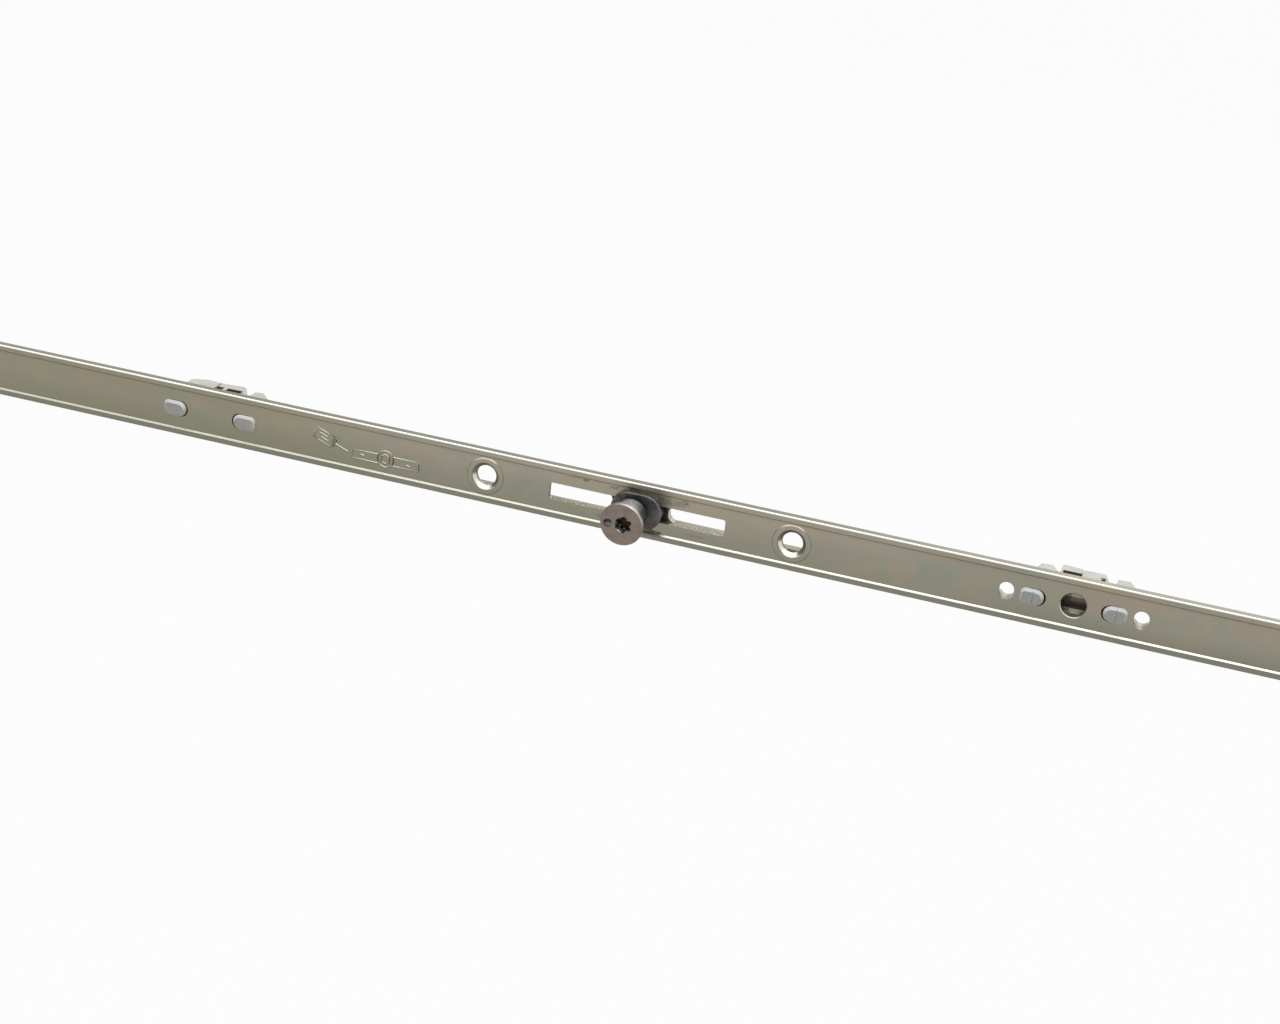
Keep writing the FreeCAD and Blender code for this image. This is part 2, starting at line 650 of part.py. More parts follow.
def make_coupling_rivets():
    """Four rivets that hold the coupling blocks on the rod."""
    piece = Piece("coupling_rivets")
    back = rod_back + block_thick
    spots = [middle + block_pin * side for middle in (block_left, block_right) for side in (-1, 1)]
    piece.pad("XZ", rod_front + 0.05, back, *[circle(x, 0, 1.45) for x in spots])
    piece.pad("XZ", back, back + 0.7, *[circle(x, 0, 2.3) for x in spots])
    piece.soften("Fillet", 0.4, is_ring(2.3, back + 0.7))
    return piece


# Outlines of a clip's fins and of the windows through them: place along the clip, rise over its spine
left_fins = [
    [(-11.6, -0.2), (-11.7, 3.4), (-10.4, 4.4), (-7.4, 5.8), (-5, 5.5), (-2.8, 5.4), (-2.8, -0.2)],
    [(-2.5, -0.2), (-2.5, 5.4), (-0.1, 5.4), (4.2, 6.2), (5.7, 4.9), (8.4, -0.2)],
    [(8.8, -0.2), (9, 4), (11.4, 4.4), (15.3, -0.2)],
]
left_windows = [
    [(-2.6, 0), (-0.3, 0), (-0.9, 1.9), (-2.6, 2.2)],
    [(1, 0), (5.8, 0), (5, 2.5), (1, 2.1)],
]
left_cores = [(-9.4, -4), (-1.3, 3.6)]
right_fins = [
    [(-11.9, -0.2), (-10.9, 3.7), (-7.9, 4), (-5.9, -0.2)],
    [(-5.6, -0.2), (-5.3, 6.1), (0.1, 5.6), (0.1, -0.2)],
    [(0.35, -0.2), (0.35, 5.2), (6.3, 5.3), (7.8, -0.2)],
    [(9.7, -0.2), (9.9, 3.7), (13.1, 3.9), (15.1, -0.2)],
]
right_windows = [
    [(-4.8, 0), (0.2, 0), (0.2, 2), (-4.8, 2)],
    [(5.5, 0), (6.6, 0), (6.3, 2.1)],
]
right_cores = [(-4.1, -1.1), (1.5, 5.1)]

pieces = [
    make_faceplate(),
    make_drive_rod(),
    make_cam_collar(),
    make_cam_pin(),
    make_ring("cam_roller", -offset, head_thick - head_front + play, -roller_foot,
              journal_radius + play, roller_radius, 0.3),
    make_ring("cam_washer", 0, rod_back + play, rod_back + play + washer_thick,
              stem_radius + 0.02, washer_radius),
    make_guide_clip("left_guide_clip", clip_left, left_fins, left_windows, left_cores, False,
                    left_tab_length, left_tab_shift),
    make_guide_clip("right_guide_clip", clip_right, right_fins, right_windows, right_cores, True),
    make_guide_clip("end_guide_clip", clip_end, right_fins, right_windows, right_cores, True),
    make_case_half("gearbox_case_upper", 1),
    make_case_half("gearbox_case_lower", -1),
    make_case_rivets(),
    make_gearbox_posts(),
    make_follower(),
    make_follower_bush("follower_bush_upper", 1),
    make_follower_bush("follower_bush_lower", -1),
    make_handle_screw_bushes(),
    make_end_coupling("left_end_coupling", block_left),
    make_end_coupling("right_end_coupling", block_right),
    make_coupling_rivets(),
]

doc.recompute()
for item in doc.Objects:
    if "Invalid" in item.State or "Error" in item.State:
        raise RuntimeError("%s: %s" % (item.Label, item.State))
for piece in pieces:
    shape = piece.body.Shape
    if shape.isNull() or not shape.isValid():
        raise RuntimeError(piece.name + " has no valid shape")
    shape.exportStep("parts/%s.step" % piece.name)
    print("%-22s %8.1f mm3, %d solids" % (piece.name, shape.Volume, len(shape.Solids)))
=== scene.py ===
# %% [markdown]
# A window espagnolette is the long steel rail in the edge of a tilt-and-turn sash. A slotted rod
# slides behind its faceplate and carries a mushroom-headed locking cam. All its metal and plastic
# pieces come from the CAD frame, true to size, so this lesson is about finish: how zinc-plated and
# passivated steel, die-cast zinc and pale moulded plastic are built from shader nodes, and how a
# studio of soft light shows their edges.

# %% Load the fixed frame
import json
import math

import bpy
from mathutils import Matrix, Vector


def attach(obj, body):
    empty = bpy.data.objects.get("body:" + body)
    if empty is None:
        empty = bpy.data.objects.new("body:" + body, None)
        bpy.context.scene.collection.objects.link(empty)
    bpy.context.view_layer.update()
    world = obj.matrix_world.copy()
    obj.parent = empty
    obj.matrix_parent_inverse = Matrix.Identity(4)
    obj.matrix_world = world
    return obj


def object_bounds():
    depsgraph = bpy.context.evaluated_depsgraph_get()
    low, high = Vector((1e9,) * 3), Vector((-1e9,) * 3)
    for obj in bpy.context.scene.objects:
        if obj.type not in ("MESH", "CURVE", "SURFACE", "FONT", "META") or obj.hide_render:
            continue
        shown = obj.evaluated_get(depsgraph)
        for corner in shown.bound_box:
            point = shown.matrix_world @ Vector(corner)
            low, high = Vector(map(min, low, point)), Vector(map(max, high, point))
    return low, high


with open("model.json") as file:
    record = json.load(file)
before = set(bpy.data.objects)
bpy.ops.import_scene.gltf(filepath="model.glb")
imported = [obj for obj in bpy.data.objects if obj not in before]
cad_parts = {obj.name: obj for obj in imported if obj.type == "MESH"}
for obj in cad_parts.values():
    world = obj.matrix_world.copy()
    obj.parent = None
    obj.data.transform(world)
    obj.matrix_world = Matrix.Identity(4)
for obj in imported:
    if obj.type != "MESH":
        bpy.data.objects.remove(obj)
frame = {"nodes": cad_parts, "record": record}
nodes = frame["nodes"]
cad_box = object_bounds()
MM = 0.001


def in_mm(box):
    """The two corners of a box in millimetres, rounded for printing."""
    return [[round(value / MM, 1) for value in corner] for corner in box]


print("pieces:", len(nodes), "CAD box (mm):", in_mm(cad_box))

# %% [markdown]
# The photograph looks slightly down on the rail, from the right, and is turned a little. The camera
# is placed by three angles and a distance: azimuth round the object, elevation above it and roll
# about the line of sight. They were found by matching the rail's width, slot and holes. The frame's
# origin lies on the faceplate's back; FRONT is the plane of its raised rims, in millimetres, which
# the camera and the finishes count from.

# %% Place the camera
FRONT = -2.4
AZIMUTH = math.radians(15.22)
ELEVATION = math.radians(22.82)
ROLL = math.radians(6.43)
DISTANCE = 0.6442
SIDEWAYS = 0.0013
UPWARDS = -0.0006
FOCAL_PIXELS = 2301
PICTURE_WIDTH = 1280
SENSOR = 36.0

towards = Vector((
    math.sin(AZIMUTH) * math.cos(ELEVATION),
    -math.cos(AZIMUTH) * math.cos(ELEVATION),
    math.sin(ELEVATION),
))
right = Vector((math.cos(AZIMUTH), math.sin(AZIMUTH), 0))
up = towards.cross(right)
turned_right = right * math.cos(ROLL) + up * math.sin(ROLL)
turned_up = up * math.cos(ROLL) - right * math.sin(ROLL)

camera_data = bpy.data.cameras.new("photo_camera")
camera_data.sensor_width = SENSOR
camera_data.lens = FOCAL_PIXELS / PICTURE_WIDTH * SENSOR
camera_data.clip_start = 0.01
camera = bpy.data.objects.new("photo_camera", camera_data)
bpy.context.scene.collection.objects.link(camera)
axes = Matrix((turned_right, turned_up, towards)).transposed()
spot = Vector((0, FRONT * MM, 0)) + towards * DISTANCE + turned_right * SIDEWAYS + turned_up * UPWARDS
camera.matrix_world = Matrix.Translation(spot) @ axes.to_4x4()
bpy.context.scene.camera = camera
bpy.context.scene.view_settings.view_transform = "Standard"
print("lens %.1f mm, camera at" % camera_data.lens, [round(v, 3) for v in spot])

# %% [markdown]
# A shader is arithmetic on sockets. Wiring every Math node by hand hides that arithmetic, so a
# small class wraps a socket and lets Python's own operators add the nodes. Colours and vectors are
# not numbers: they go through Mix and Vector Math nodes, which `Finish` offers by name.


# %% A socket that can be added, multiplied and compared
class Wire:
    """One value running through a node tree; arithmetic on it adds Math nodes."""

    def __init__(self, wiring, socket):
        self.wiring = wiring
        self.socket = socket

    def _math(self, operation, *values):
        return self.wiring.node("ShaderNodeMath", values, operation=operation)

    def __add__(self, other):
        return self._math("ADD", self, other)

    def __radd__(self, other):
        return self._math("ADD", other, self)

    def __sub__(self, other):
        return self._math("SUBTRACT", self, other)

    def __rsub__(self, other):
        return self._math("SUBTRACT", other, self)

    def __mul__(self, other):
        return self._math("MULTIPLY", self, other)

    def __rmul__(self, other):
        return self._math("MULTIPLY", other, self)

    def __truediv__(self, other):
        return self._math("DIVIDE", self, other)

    def __abs__(self):
        return self._math("ABSOLUTE", self)

    def __pow__(self, other):
        return self._math("POWER", self, other)

    def least(self, other):
        return self._math("MINIMUM", self, other)

    def most(self, other):
        return self._math("MAXIMUM", self, other)

    def rise(self, low, high):
        """0 below `low`, 1 above `high` and a smooth step between them."""
        return self.wiring.node(
            "ShaderNodeMapRange", {"Value": self, "From Min": low, "From Max": high},
            interpolation_type="SMOOTHSTEP",
        )

    def fall(self, low, high):
        """1 below `low`, 0 above `high` and a smooth step between them."""
        return 1 - self.rise(low, high)


class Wiring:
    """A node tree under construction, of a material or of the world."""

    def __init__(self, tree):
        self.tree = tree

    def feed(self, made, values):
        """Give each named or numbered socket of a node its steady value or its wire."""
        for key, value in values.items():
            if isinstance(value, Wire):
                self.tree.links.new(value.socket, made.inputs[key])
            else:
                made.inputs[key].default_value = value

    def node(self, kind, values=(), output=0, **settings):
        """Add a node: its settings first, then the values or wires of its sockets."""
        made = self.tree.nodes.new(kind)
        for key, value in settings.items():
            setattr(made, key, value)
        self.feed(made, values if isinstance(values, dict) else dict(enumerate(values)))
        return Wire(self, made.outputs[output])


print("shader arithmetic is ready")

# %% [markdown]
# Every finish is one Principled shader with wires into it. It knows where a point lies on the piece,
# in millimetres, and which way the face there points. On these it lays a base colour and then tints,
# each where its mask is 1, as a finisher lays coats. A Mix node keeps sockets for numbers, vectors
# and colours side by side under the same names, so its colour sockets are called by number.

# %% A finish under construction
MIX_MASK = 0
MIX_FIRST = 6
MIX_SECOND = 7
MIX_COLOUR = 2


def srgb(red, green, blue):
    """A colour as a picture stores it, 0 to 255, turned into the linear values that light uses."""

    def linear(value):
        value /= 255
        return value / 12.92 if value <= 0.04045 else ((value + 0.055) / 1.055) ** 2.4

    return (linear(red), linear(green), linear(blue), 1.0)


class Finish(Wiring):
    """A material under construction: one shader, fed by wires.

    x, y and z are the place on the piece in millimetres, with y counted back from FRONT. across, back
    and upwards say how far the face there points along X, to the back and up, from -1 to 1 each.
    """

    def __init__(self, name, **steady):
        self.name = name
        self.material = bpy.data.materials.new(name)
        self.material.use_nodes = True
        super().__init__(self.material.node_tree)
        self.shader = self.tree.nodes["Principled BSDF"]
        self.set(**steady)
        place = self.node("ShaderNodeTexCoord", output="Object")
        grown = self.node("ShaderNodeVectorMath", {0: place, "Scale": 1 / MM}, operation="SCALE")
        self.place = self.node("ShaderNodeVectorMath", [grown, (0.0, -FRONT, 0.0)], operation="ADD")
        self.x, self.y, self.z = self.split(self.place)
        self.flat_normal = self.node("ShaderNodeNewGeometry", output="Normal")
        self.across, self.back, self.upwards = self.split(self.flat_normal)

    def set(self, **values):
        """Feed the shader's sockets; an underscore stands for a space in a socket's name."""
        self.feed(self.shader, {socket.replace("_", " "): value for socket, value in values.items()})
        return self

    def split(self, vector):
        """The three parts of a vector, as a wire each."""
        parts = self.node("ShaderNodeSeparateXYZ", [vector]).socket.node.outputs
        return [Wire(self, part) for part in parts]

    def away(self, x, z):
        """Distance in millimetres from an axis that runs front to back."""
        return ((self.x - x) ** 2.0 + (self.z - z) ** 2.0) ** 0.5

    def between(self, left, right):
        """1 between two places along the rail and 0 from a tenth of a millimetre beyond them."""
        half = (right - left) / 2
        return abs(self.x - (left + right) / 2).fall(half, half + 0.1)

    def stretch(self, across_x, across_y, across_z, shift=0.0):
        """The place on the piece in millimetres, squeezed or drawn out along each axis."""
        return self.node("ShaderNodeMapping", {
            "Vector": self.place, "Scale": (across_x, across_y, across_z),
            "Location": (shift, shift * 0.7, shift * 1.3),
        })

    def noise(self, vector, detail=3.0, roughness=0.55, distortion=0.0):
        """Cloudy variation from 0 to 1, centred near a half."""
        return self.node("ShaderNodeTexNoise", {
            "Vector": vector, "Scale": 1.0, "Detail": detail,
            "Roughness": roughness, "Distortion": distortion,
        })

    def mix(self, mask, first, second, blend="MIX"):
        """Colour `first` where the mask is 0, `second` where it is 1."""
        return self.node(
            "ShaderNodeMix", {MIX_MASK: mask, MIX_FIRST: first, MIX_SECOND: second}, MIX_COLOUR,
            data_type="RGBA", blend_type=blend, clamp_factor=True,
        )

    def coats(self, colour, *tints):
        """Lay tints on a colour one after another, each given as its mask and its own colour."""
        for mask, tint in tints:
            colour = self.mix(mask, colour, tint)
        return colour

    def shade(self, colour, factor):
        """Darken or lighten a colour by a wire round 1."""
        grey = self.node("ShaderNodeCombineColor", [factor, factor, factor])
        return self.mix(1.0, colour, grey, "MULTIPLY")

    def soft_edges(self, radius):
        """The surface direction with every sharp edge rounded by a small radius, in millimetres."""
        return self.node("ShaderNodeBevel", {"Radius": radius * MM}, samples=4)

    # Edges for wear, and in some finishes for painted highlights and painted shade.
    def sharp_edges(self, radius):
        """1 along sharp edges and 0 on faces, from how far the rounded direction turns away."""
        turn = self.node("ShaderNodeVectorMath", [self.soft_edges(radius), self.flat_normal],
                         output="Value", operation="DOT_PRODUCT")
        return turn.fall(0.80, 0.985)

    def bumps(self, height, depth, radius=0.1):
        """Turn a height wire into relief of so many millimetres, over softened edges."""
        return self.node("ShaderNodeBump", {
            "Height": height, "Distance": depth * MM, "Strength": 1.0, "Normal": self.soft_edges(radius),
        })


finishes = {}


def keep(finish):
    """Keep a finish under its own name, and say how many nodes it took."""
    finishes[finish.name] = finish.material
    print("finish", finish.name, "has", len(finish.tree.nodes), "nodes")


print("finishes can be made")

# %% [markdown]
# The faceplate is rolled strip, zinc plated and then passivated, which leaves a thin film with a
# faint play of olive, pink and grey-green. A picture of such steel could be wrapped on it, but would
# bring its own light and seams along. The play is slow along the strip, so it comes from large clouds
# of noise instead. The room's light is painted on as well: painted shade low down, more so at the
# left and right, and painted light above the cam; the left end is more olive. All of it is laid on
# as coats.


# %% Finish: the faceplate's film
def film_and_painted_shade(finish, clouds):
    """The passivation film's colour play, with painted shade and light of the room, before any wear."""
    other_clouds = finish.noise(finish.stretch(0.045, 0.05, 0.10, 31.0), detail=2.0, distortion=0.8)
    blotches = finish.noise(finish.stretch(0.10, 0.10, 0.16, 17.0), detail=4.0, distortion=0.5)
    # Painted shade of the room low down, more at the left and right, painted light above the cam.
    low = finish.z.fall(-7.0, 2.0)
    low_left = finish.z.fall(-6.0, 3.0) * finish.x.fall(-110, -20)
    low_right = finish.z.fall(-6.5, -1.0) * finish.x.rise(85, 125)
    above_cam = finish.z.rise(0.0, 5.0) * finish.x.rise(-125, -90) * finish.x.fall(70, 95)
    left_end = finish.x.fall(-110, -60)
    return finish.coats(
        finish.mix(clouds.rise(0.36, 0.64), srgb(157, 148, 131), srgb(148, 146, 130)),
        (other_clouds.rise(0.50, 0.70) * 0.55, srgb(157, 143, 129)),
        (other_clouds.fall(0.30, 0.47) * 0.55, srgb(138, 144, 131)),
        (blotches.rise(0.50, 0.62) * 0.35, srgb(158, 144, 130)),
        (blotches.fall(0.36, 0.47) * 0.4, srgb(136, 143, 130)),
        (low * 0.5, srgb(133, 133, 117)),
        (low_left * 0.35, srgb(122, 125, 110)),
        (low_right * 0.3, srgb(120, 115, 101)),
        (above_cam * 0.35, srgb(172, 163, 147)),
        (left_end * 0.3, srgb(140, 137, 106)),
    )


print("the film is ready")

# %% [markdown]
# The collar drags oil to and fro beside the cam, and it dries into small ragged stains. Noise alone
# would strew them evenly, but they lie close to the collar and its path, so each is an oval in its
# own place, whose edge is broken up by noise. The darkest oval, below the cam and over the lower
# rim, is oil and painted shadow of the cam. They are listed as they lie on the recessed face, in
# millimetres: centre along and across the rail, half sizes, and how dark the stain is.

# %% Finish: oil beside the cam
OIL_AND_SHADOW_MARKS = (
    (2.5, 5.6, 8.0, 1.4, 0.26),
    (-1.2, 5.9, 2.8, 0.9, 0.42),
    (7.9, 3.8, 2.6, 1.8, 0.42),
    # Below the cam and over the lower rim: oil and painted shadow of the cam.
    (4.8, -6.0, 4.6, 1.1, 0.95),
    (12.5, 4.3, 2.6, 0.9, 0.3),
    (-15.2, 5.4, 1.1, 0.45, 0.6),
    (-19.0, 5.5, 3.0, 0.3, 0.25),
    (-6.8, 5.1, 1.6, 0.6, 0.4),
    (13.7, 5.3, 1.8, 0.5, 0.3),
    (-9.5, -4.4, 2.4, 0.8, 0.3),
    (18.0, -4.2, 3.0, 0.6, 0.2),
    (14.6, 4.6, 0.7, 0.5, 0.4),
)
DARKEST_MARK = 0.92


def oil_and_shadow_stains(finish):
    """One mask for all the stains, with the painted shadow below the cam."""
    ragged = finish.noise(finish.stretch(0.9, 0.9, 1.3, 4.0), detail=5.0, roughness=0.7)
    total = 0.0
    for x, z, half_x, half_z, strength in OIL_AND_SHADOW_MARKS:
        far = ((finish.x - x) / half_x) ** 2.0 + ((finish.z - z) / half_z) ** 2.0
        total += (far + (ragged - 0.5) * 3.2).fall(0.3, 0.9) * strength
    return total.least(DARKEST_MARK)


print("oil marks:", len(OIL_AND_SHADOW_MARKS))

# %% [markdown]
# Next come the holes. The cut walls of slots and holes never saw the rollers: they are paler and
# speckled. The countersinks for the screws are bright cones in raised rings, and each ring catches a
# crescent of light at its top. Their faces could be picked out one by one for materials of their own,
# but the way a face points tells wall, cone and flat apart, also after a change of the solids. The
# frame's record says where the screws stand. RECESS is how far the recessed face lies behind the
# rims, and RING_RADIUS is where a raised ring's edge runs round its screw.

# %% Where the screws stand
mounts = frame["record"]["mounts"]
screw_axes = []
for mount in mounts:
    enters_the_front = mount["axis"][1] < -0.5
    if mount["kind"] == "bolt_pattern" and enters_the_front:
        middle = mount["pos_m"][0] / MM
        half_pitch = mount["dims"]["spacing_x_mm"] / 2
        screw_axes += [middle - half_pitch, middle + half_pitch]
print("screw axes (mm):", [round(x, 1) for x in screw_axes])

# %% Finish: walls of the slots and holes, and the countersinks
LEFT_CLIP = -132.0
RIGHT_CLIP = 123.4
END_CLIP = 205.0
RECESS = 0.5
RING_RADIUS = 5.35


def in_round_hole(finish):
    """1 in the round hole, which lies in the middle of the right clip."""
    return abs(finish.x - RIGHT_CLIP).fall(3.6, 3.8)


def cut_walls(finish, clouds):
    """Pale speckled steel, dim where a wall faces right and inside the round hole."""
    specks = finish.noise(finish.stretch(1.5, 1.5, 1.5, 9.0), detail=5.0, roughness=0.7)
    return finish.coats(
        finish.mix(clouds.rise(0.4, 0.6), srgb(166, 159, 138), srgb(150, 147, 127)),
        (specks.rise(0.52, 0.57) * 0.8, srgb(214, 213, 196)),
        (specks.fall(0.40, 0.46) * 0.7, srgb(104, 106, 84)),
        (finish.across.rise(0.5, 0.9) * 0.75, srgb(96, 96, 84)),
        (in_round_hole(finish) * finish.across.fall(0.0, 0.5) * 0.75, srgb(72, 69, 57)),
    )


def countersinks(finish):
    """Cones that are bright where they face the light, in rings with a crescent of light."""
    lit = (finish.upwards * 0.85 + finish.across * 0.45).rise(0.22, 0.45)
    cone = finish.mix(lit, srgb(112, 105, 90), srgb(240, 244, 236))
    crescent = (finish.upwards - finish.across * 0.15).rise(0.45, 0.66)
    ring_edge = finish.mix(crescent, srgb(124, 117, 102), srgb(214, 204, 190))
    return finish.mix(finish.y.fall(RECESS, RECESS + 0.06), cone, ring_edge)


def ring_glint(finish):
    """1 along the upper part of the raised rings round the screws."""
    nearest = abs(finish.x - screw_axes[0])
    for axis in screw_axes[1:]:
        nearest = nearest.least(abs(finish.x - axis))
    radius = (nearest ** 2.0 + finish.z ** 2.0) ** 0.5
    on_ring = abs(radius - RING_RADIUS).fall(0.1, 0.3) * finish.y.fall(RECESS, RECESS + 0.06)
    return on_ring * (finish.z / radius).rise(0.74, 0.92)


print("clips stand at", (LEFT_CLIP, RIGHT_CLIP, END_CLIP), "mm")

# %% [markdown]
# Now the faceplate is put together. Over the film lie fine rolling streaks along the length and a
# little painted shade in the two inner corners of the rims. The rims' rounded shoulders are rubbed,
# and a painted highlight makes them a cream-white line where they face up. The strip's narrow sides
# are darker, and painted shade darkens the lower rim and the strip's lower edge, which turn away
# from the light. The order of the coats matters: wear comes last, because it takes everything below
# it off.

# %% Finish: passivated steel of the faceplate
RECESS_HALF = 5.8


def passivated_steel():
    finish = Finish("passivated_steel", Metallic=0.9)
    clouds = finish.noise(finish.stretch(0.030, 0.05, 0.07), distortion=0.6)
    streaks = finish.noise(finish.stretch(0.02, 0.8, 3.2), detail=4.0)
    grain = finish.noise(finish.stretch(1.6, 1.6, 2.4), detail=2.0)

    flat = abs(finish.back)
    face = finish.y.fall(RECESS + 0.1, RECESS + 0.3)
    # Painted shade in the two inner corners of the rims.
    corner = abs(abs(finish.z) - (RECESS_HALF + 0.05)).fall(0.0, 0.45)
    crease_shade = corner * finish.y.rise(0.15, 0.4) * face * flat.rise(0.9, 0.97)
    # Oil stains, and the painted shadow below the cam.
    oil_and_shadow = oil_and_shadow_stains(finish) * face
    oil_and_shadow_colour = finish.mix(grain.rise(0.4, 0.6), srgb(44, 52, 46), srgb(74, 84, 66))

    inside = abs(finish.z).fall(RECESS_HALF - 0.1, RECESS_HALF)
    cut = flat.fall(0.3, 0.6) * inside
    shaded_rim = in_round_hole(finish) * finish.across.fall(0.2, 0.6) * 0.7
    sunk = flat.fall(0.78, 0.9) * inside * (1 - cut) * (1 - shaded_rim)

    side = flat.fall(0.2, 0.35) * (1 - inside)
    beside_clip = finish.upwards.rise(0.5, 0.9) * abs(finish.x - RIGHT_CLIP - 2.6).fall(6.0, 9.0)
    # Painted shade on the lower rim and on faces that point down, darkest at the strip's lower edge.
    under = (finish.upwards.fall(-0.4, -0.1) + flat).least(1.0) * finish.z.fall(-6.5, -6.3)
    bottom = under * finish.z.fall(-8.0, -7.6)
    # Rubbed shoulders with a painted highlight where they face up, whitest on the upper rim.
    rounded = flat.rise(0.25, 0.45) * flat.fall(0.93, 0.985) * (1 - inside)
    rubbed_lit_corner = finish.z.rise(7.50, 7.66) * finish.y.fall(0.25, 0.42)
    lit_shoulders = (rounded * finish.upwards.rise(0.1, 0.4)).most(rubbed_lit_corner)
    cream_highlight = finish.mix(finish.z.rise(-1.0, 1.0), srgb(209, 208, 194), srgb(250, 248, 236))

    colour = finish.coats(
        finish.shade(film_and_painted_shade(finish, clouds), 0.945 + streaks * 0.08 + grain * 0.06),
        (crease_shade * 0.22, srgb(98, 88, 70)),
        (oil_and_shadow, oil_and_shadow_colour),
        (cut * 0.9, cut_walls(finish, clouds)),
        (sunk * 0.8, countersinks(finish)),
        (ring_glint(finish) * 0.75, srgb(214, 204, 190)),
        (side * 0.8, srgb(132, 131, 120)),
        (side * beside_clip * 0.5, srgb(160, 143, 112)),
        (under * 0.7, srgb(127, 127, 115)),
        (bottom * 0.7, srgb(98, 100, 92)),
        (lit_shoulders * 0.9, cream_highlight),
        (finish.sharp_edges(0.10) * 0.2, srgb(196, 193, 176)),
    )
    uneven = (clouds - 0.5) * 0.12 + (grain - 0.5) * 0.10
    rough = 0.35 + uneven + cut * 0.10 - oil_and_shadow * 0.08 - rounded * 0.12
    relief = finish.bumps(streaks * 0.5 + grain * 0.5, 0.012, 0.09)
    return finish.set(Base_Color=colour, Roughness=rough, Normal=relief)


keep(passivated_steel())

# %% [markdown]
# The rod, the washer and the rivets are plain zinc-plated steel: cooler than the faceplate, with
# rubbed tracks along the travel on the rod, where it runs against the faceplate and the clips. Old
# grease and painted shadow darken the rod's front behind the cam and at the right and end clips,
# with a painted shadow left of each place's middle and, where the darkening is light, a painted
# highlight low down. Rod and rivets share one recipe, and only the rod gets the long tracks, the
# grease and the painted light.

# %% Finish: zinc-plated steel
GREASE_AND_SHADE_PLACES = ((0.0, 10.5, 0.95), (RIGHT_CLIP, 5.0, 0.3), (END_CLIP, 5.0, 0.3))
GREASE_AND_SHADE = srgb(30, 34, 28)


def plated_steel(name, light, dark, along=0.05, darkened_places=()):
    """Plated steel; `along` draws out its tracks, `darkened_places` lists middle, reach and strength."""
    finish = Finish(name, Metallic=0.9)
    clouds = finish.noise(finish.stretch(0.06, 0.2, 0.2, 12.0))
    tracks = finish.noise(finish.stretch(along, 1.2, 4.0, 5.0), detail=4.0)
    grain = finish.noise(finish.stretch(2.2, 2.2, 2.2, 2.0), detail=2.0)
    colour = finish.mix(clouds.rise(0.35, 0.65), light, dark)
    colour = finish.shade(colour, 0.93 + tracks * 0.09 + grain * 0.05)
    colour = finish.mix(finish.sharp_edges(0.12) * 0.35, colour, srgb(214, 213, 204))
    front = finish.back.fall(-0.9, -0.8)
    for middle, reach, strength in darkened_places:
        # Grease and painted shadow on the rod's front, painted shadow left of the middle, painted highlight
        # low.
        smear_and_shade = abs(finish.x - middle + (grain - 0.5) * 1.2).fall(reach * 0.8, reach) * front
        hole_shadow = abs(finish.x - middle + 2.4).fall(1.2, 1.8) * finish.z.rise(-2.7, -2.4) * front
        glint = abs(finish.x - middle - 0.6).fall(1.0, 1.7) * abs(finish.z + 2.9).fall(0.2, 0.45) * front
        colour = finish.coats(
            colour,
            ((smear_and_shade * strength).most(hole_shadow * 0.65), GREASE_AND_SHADE),
            (glint * (1 - strength) * 0.9, srgb(228, 226, 206)),
        )
    colour = finish.mix(finish.across.rise(0.5, 0.9) * 0.6, colour, srgb(206, 194, 178))
    rough = 0.33 + (tracks - 0.5) * 0.16 + (grain - 0.5) * 0.12
    relief = finish.bumps(tracks * 0.6 + grain * 0.4, 0.015)
    return finish.set(Base_Color=colour, Roughness=rough, Normal=relief)


keep(plated_steel("rod_steel", srgb(176, 174, 158), srgb(152, 152, 138), darkened_places=GREASE_AND_SHADE_PLACES))
keep(plated_steel("rivet_steel", srgb(172, 172, 164), srgb(150, 150, 142), along=0.8))

# %% [markdown]
# The collar is a dark phosphated block, oily from its work: nearly black in its pores, darker and
# warmer at the left and low down, with painted light on its right and on its top faces.
# Wear could be painted by hand; here a rounded normal finds the edges, so it follows the shape.


# %% Finish: dark oiled collar
def oiled_collar():
    finish = Finish("dark_collar", Metallic=0.75)
    patches = finish.noise(finish.stretch(0.35, 0.35, 0.45, 3.0), detail=4.0, distortion=0.5)
    pores = finish.noise(finish.stretch(3.0, 3.0, 3.0))
    mottle = finish.noise(finish.stretch(1.1, 1.1, 1.1, 5.0), detail=4.0, roughness=0.6)
    # Painted light on the right lifts the shade there; darker and warmer at the left and low down.
    painted_light_right = finish.x.rise(0.0, 5.0) * finish.z.rise(-3.0, 0.5)
    darker_left = finish.x.fall(-5.0, 0.0)
    darker_low = finish.z.fall(-3.0, 0.5)
    colour = finish.coats(
        finish.mix(patches.rise(0.36, 0.66), srgb(80, 77, 79), srgb(104, 98, 95)),
        (pores.rise(0.56, 0.70) * 0.6, srgb(46, 48, 44)),
        (painted_light_right * 0.55, srgb(124, 124, 126)),
        (darker_left * 0.4, srgb(72, 64, 57)),
        (darker_low * 0.5, srgb(84, 73, 66)),
        (mottle.rise(0.54, 0.66) * 0.45, srgb(52, 54, 50)),
        (mottle.fall(0.34, 0.45) * 0.3, srgb(132, 134, 127)),
        # Painted light on the faces that point up.
        (finish.upwards.rise(0.5, 0.9) * 0.5, srgb(128, 132, 120)),
        (finish.sharp_edges(0.2) * 0.7, srgb(166, 170, 162)),
    )
    rough = 0.36 + (patches - 0.5) * 0.22 + (pores - 0.5) * 0.12
    return finish.set(Base_Color=colour, Roughness=rough, Normal=finish.bumps(pores, 0.02, 0.12))


keep(oiled_collar())

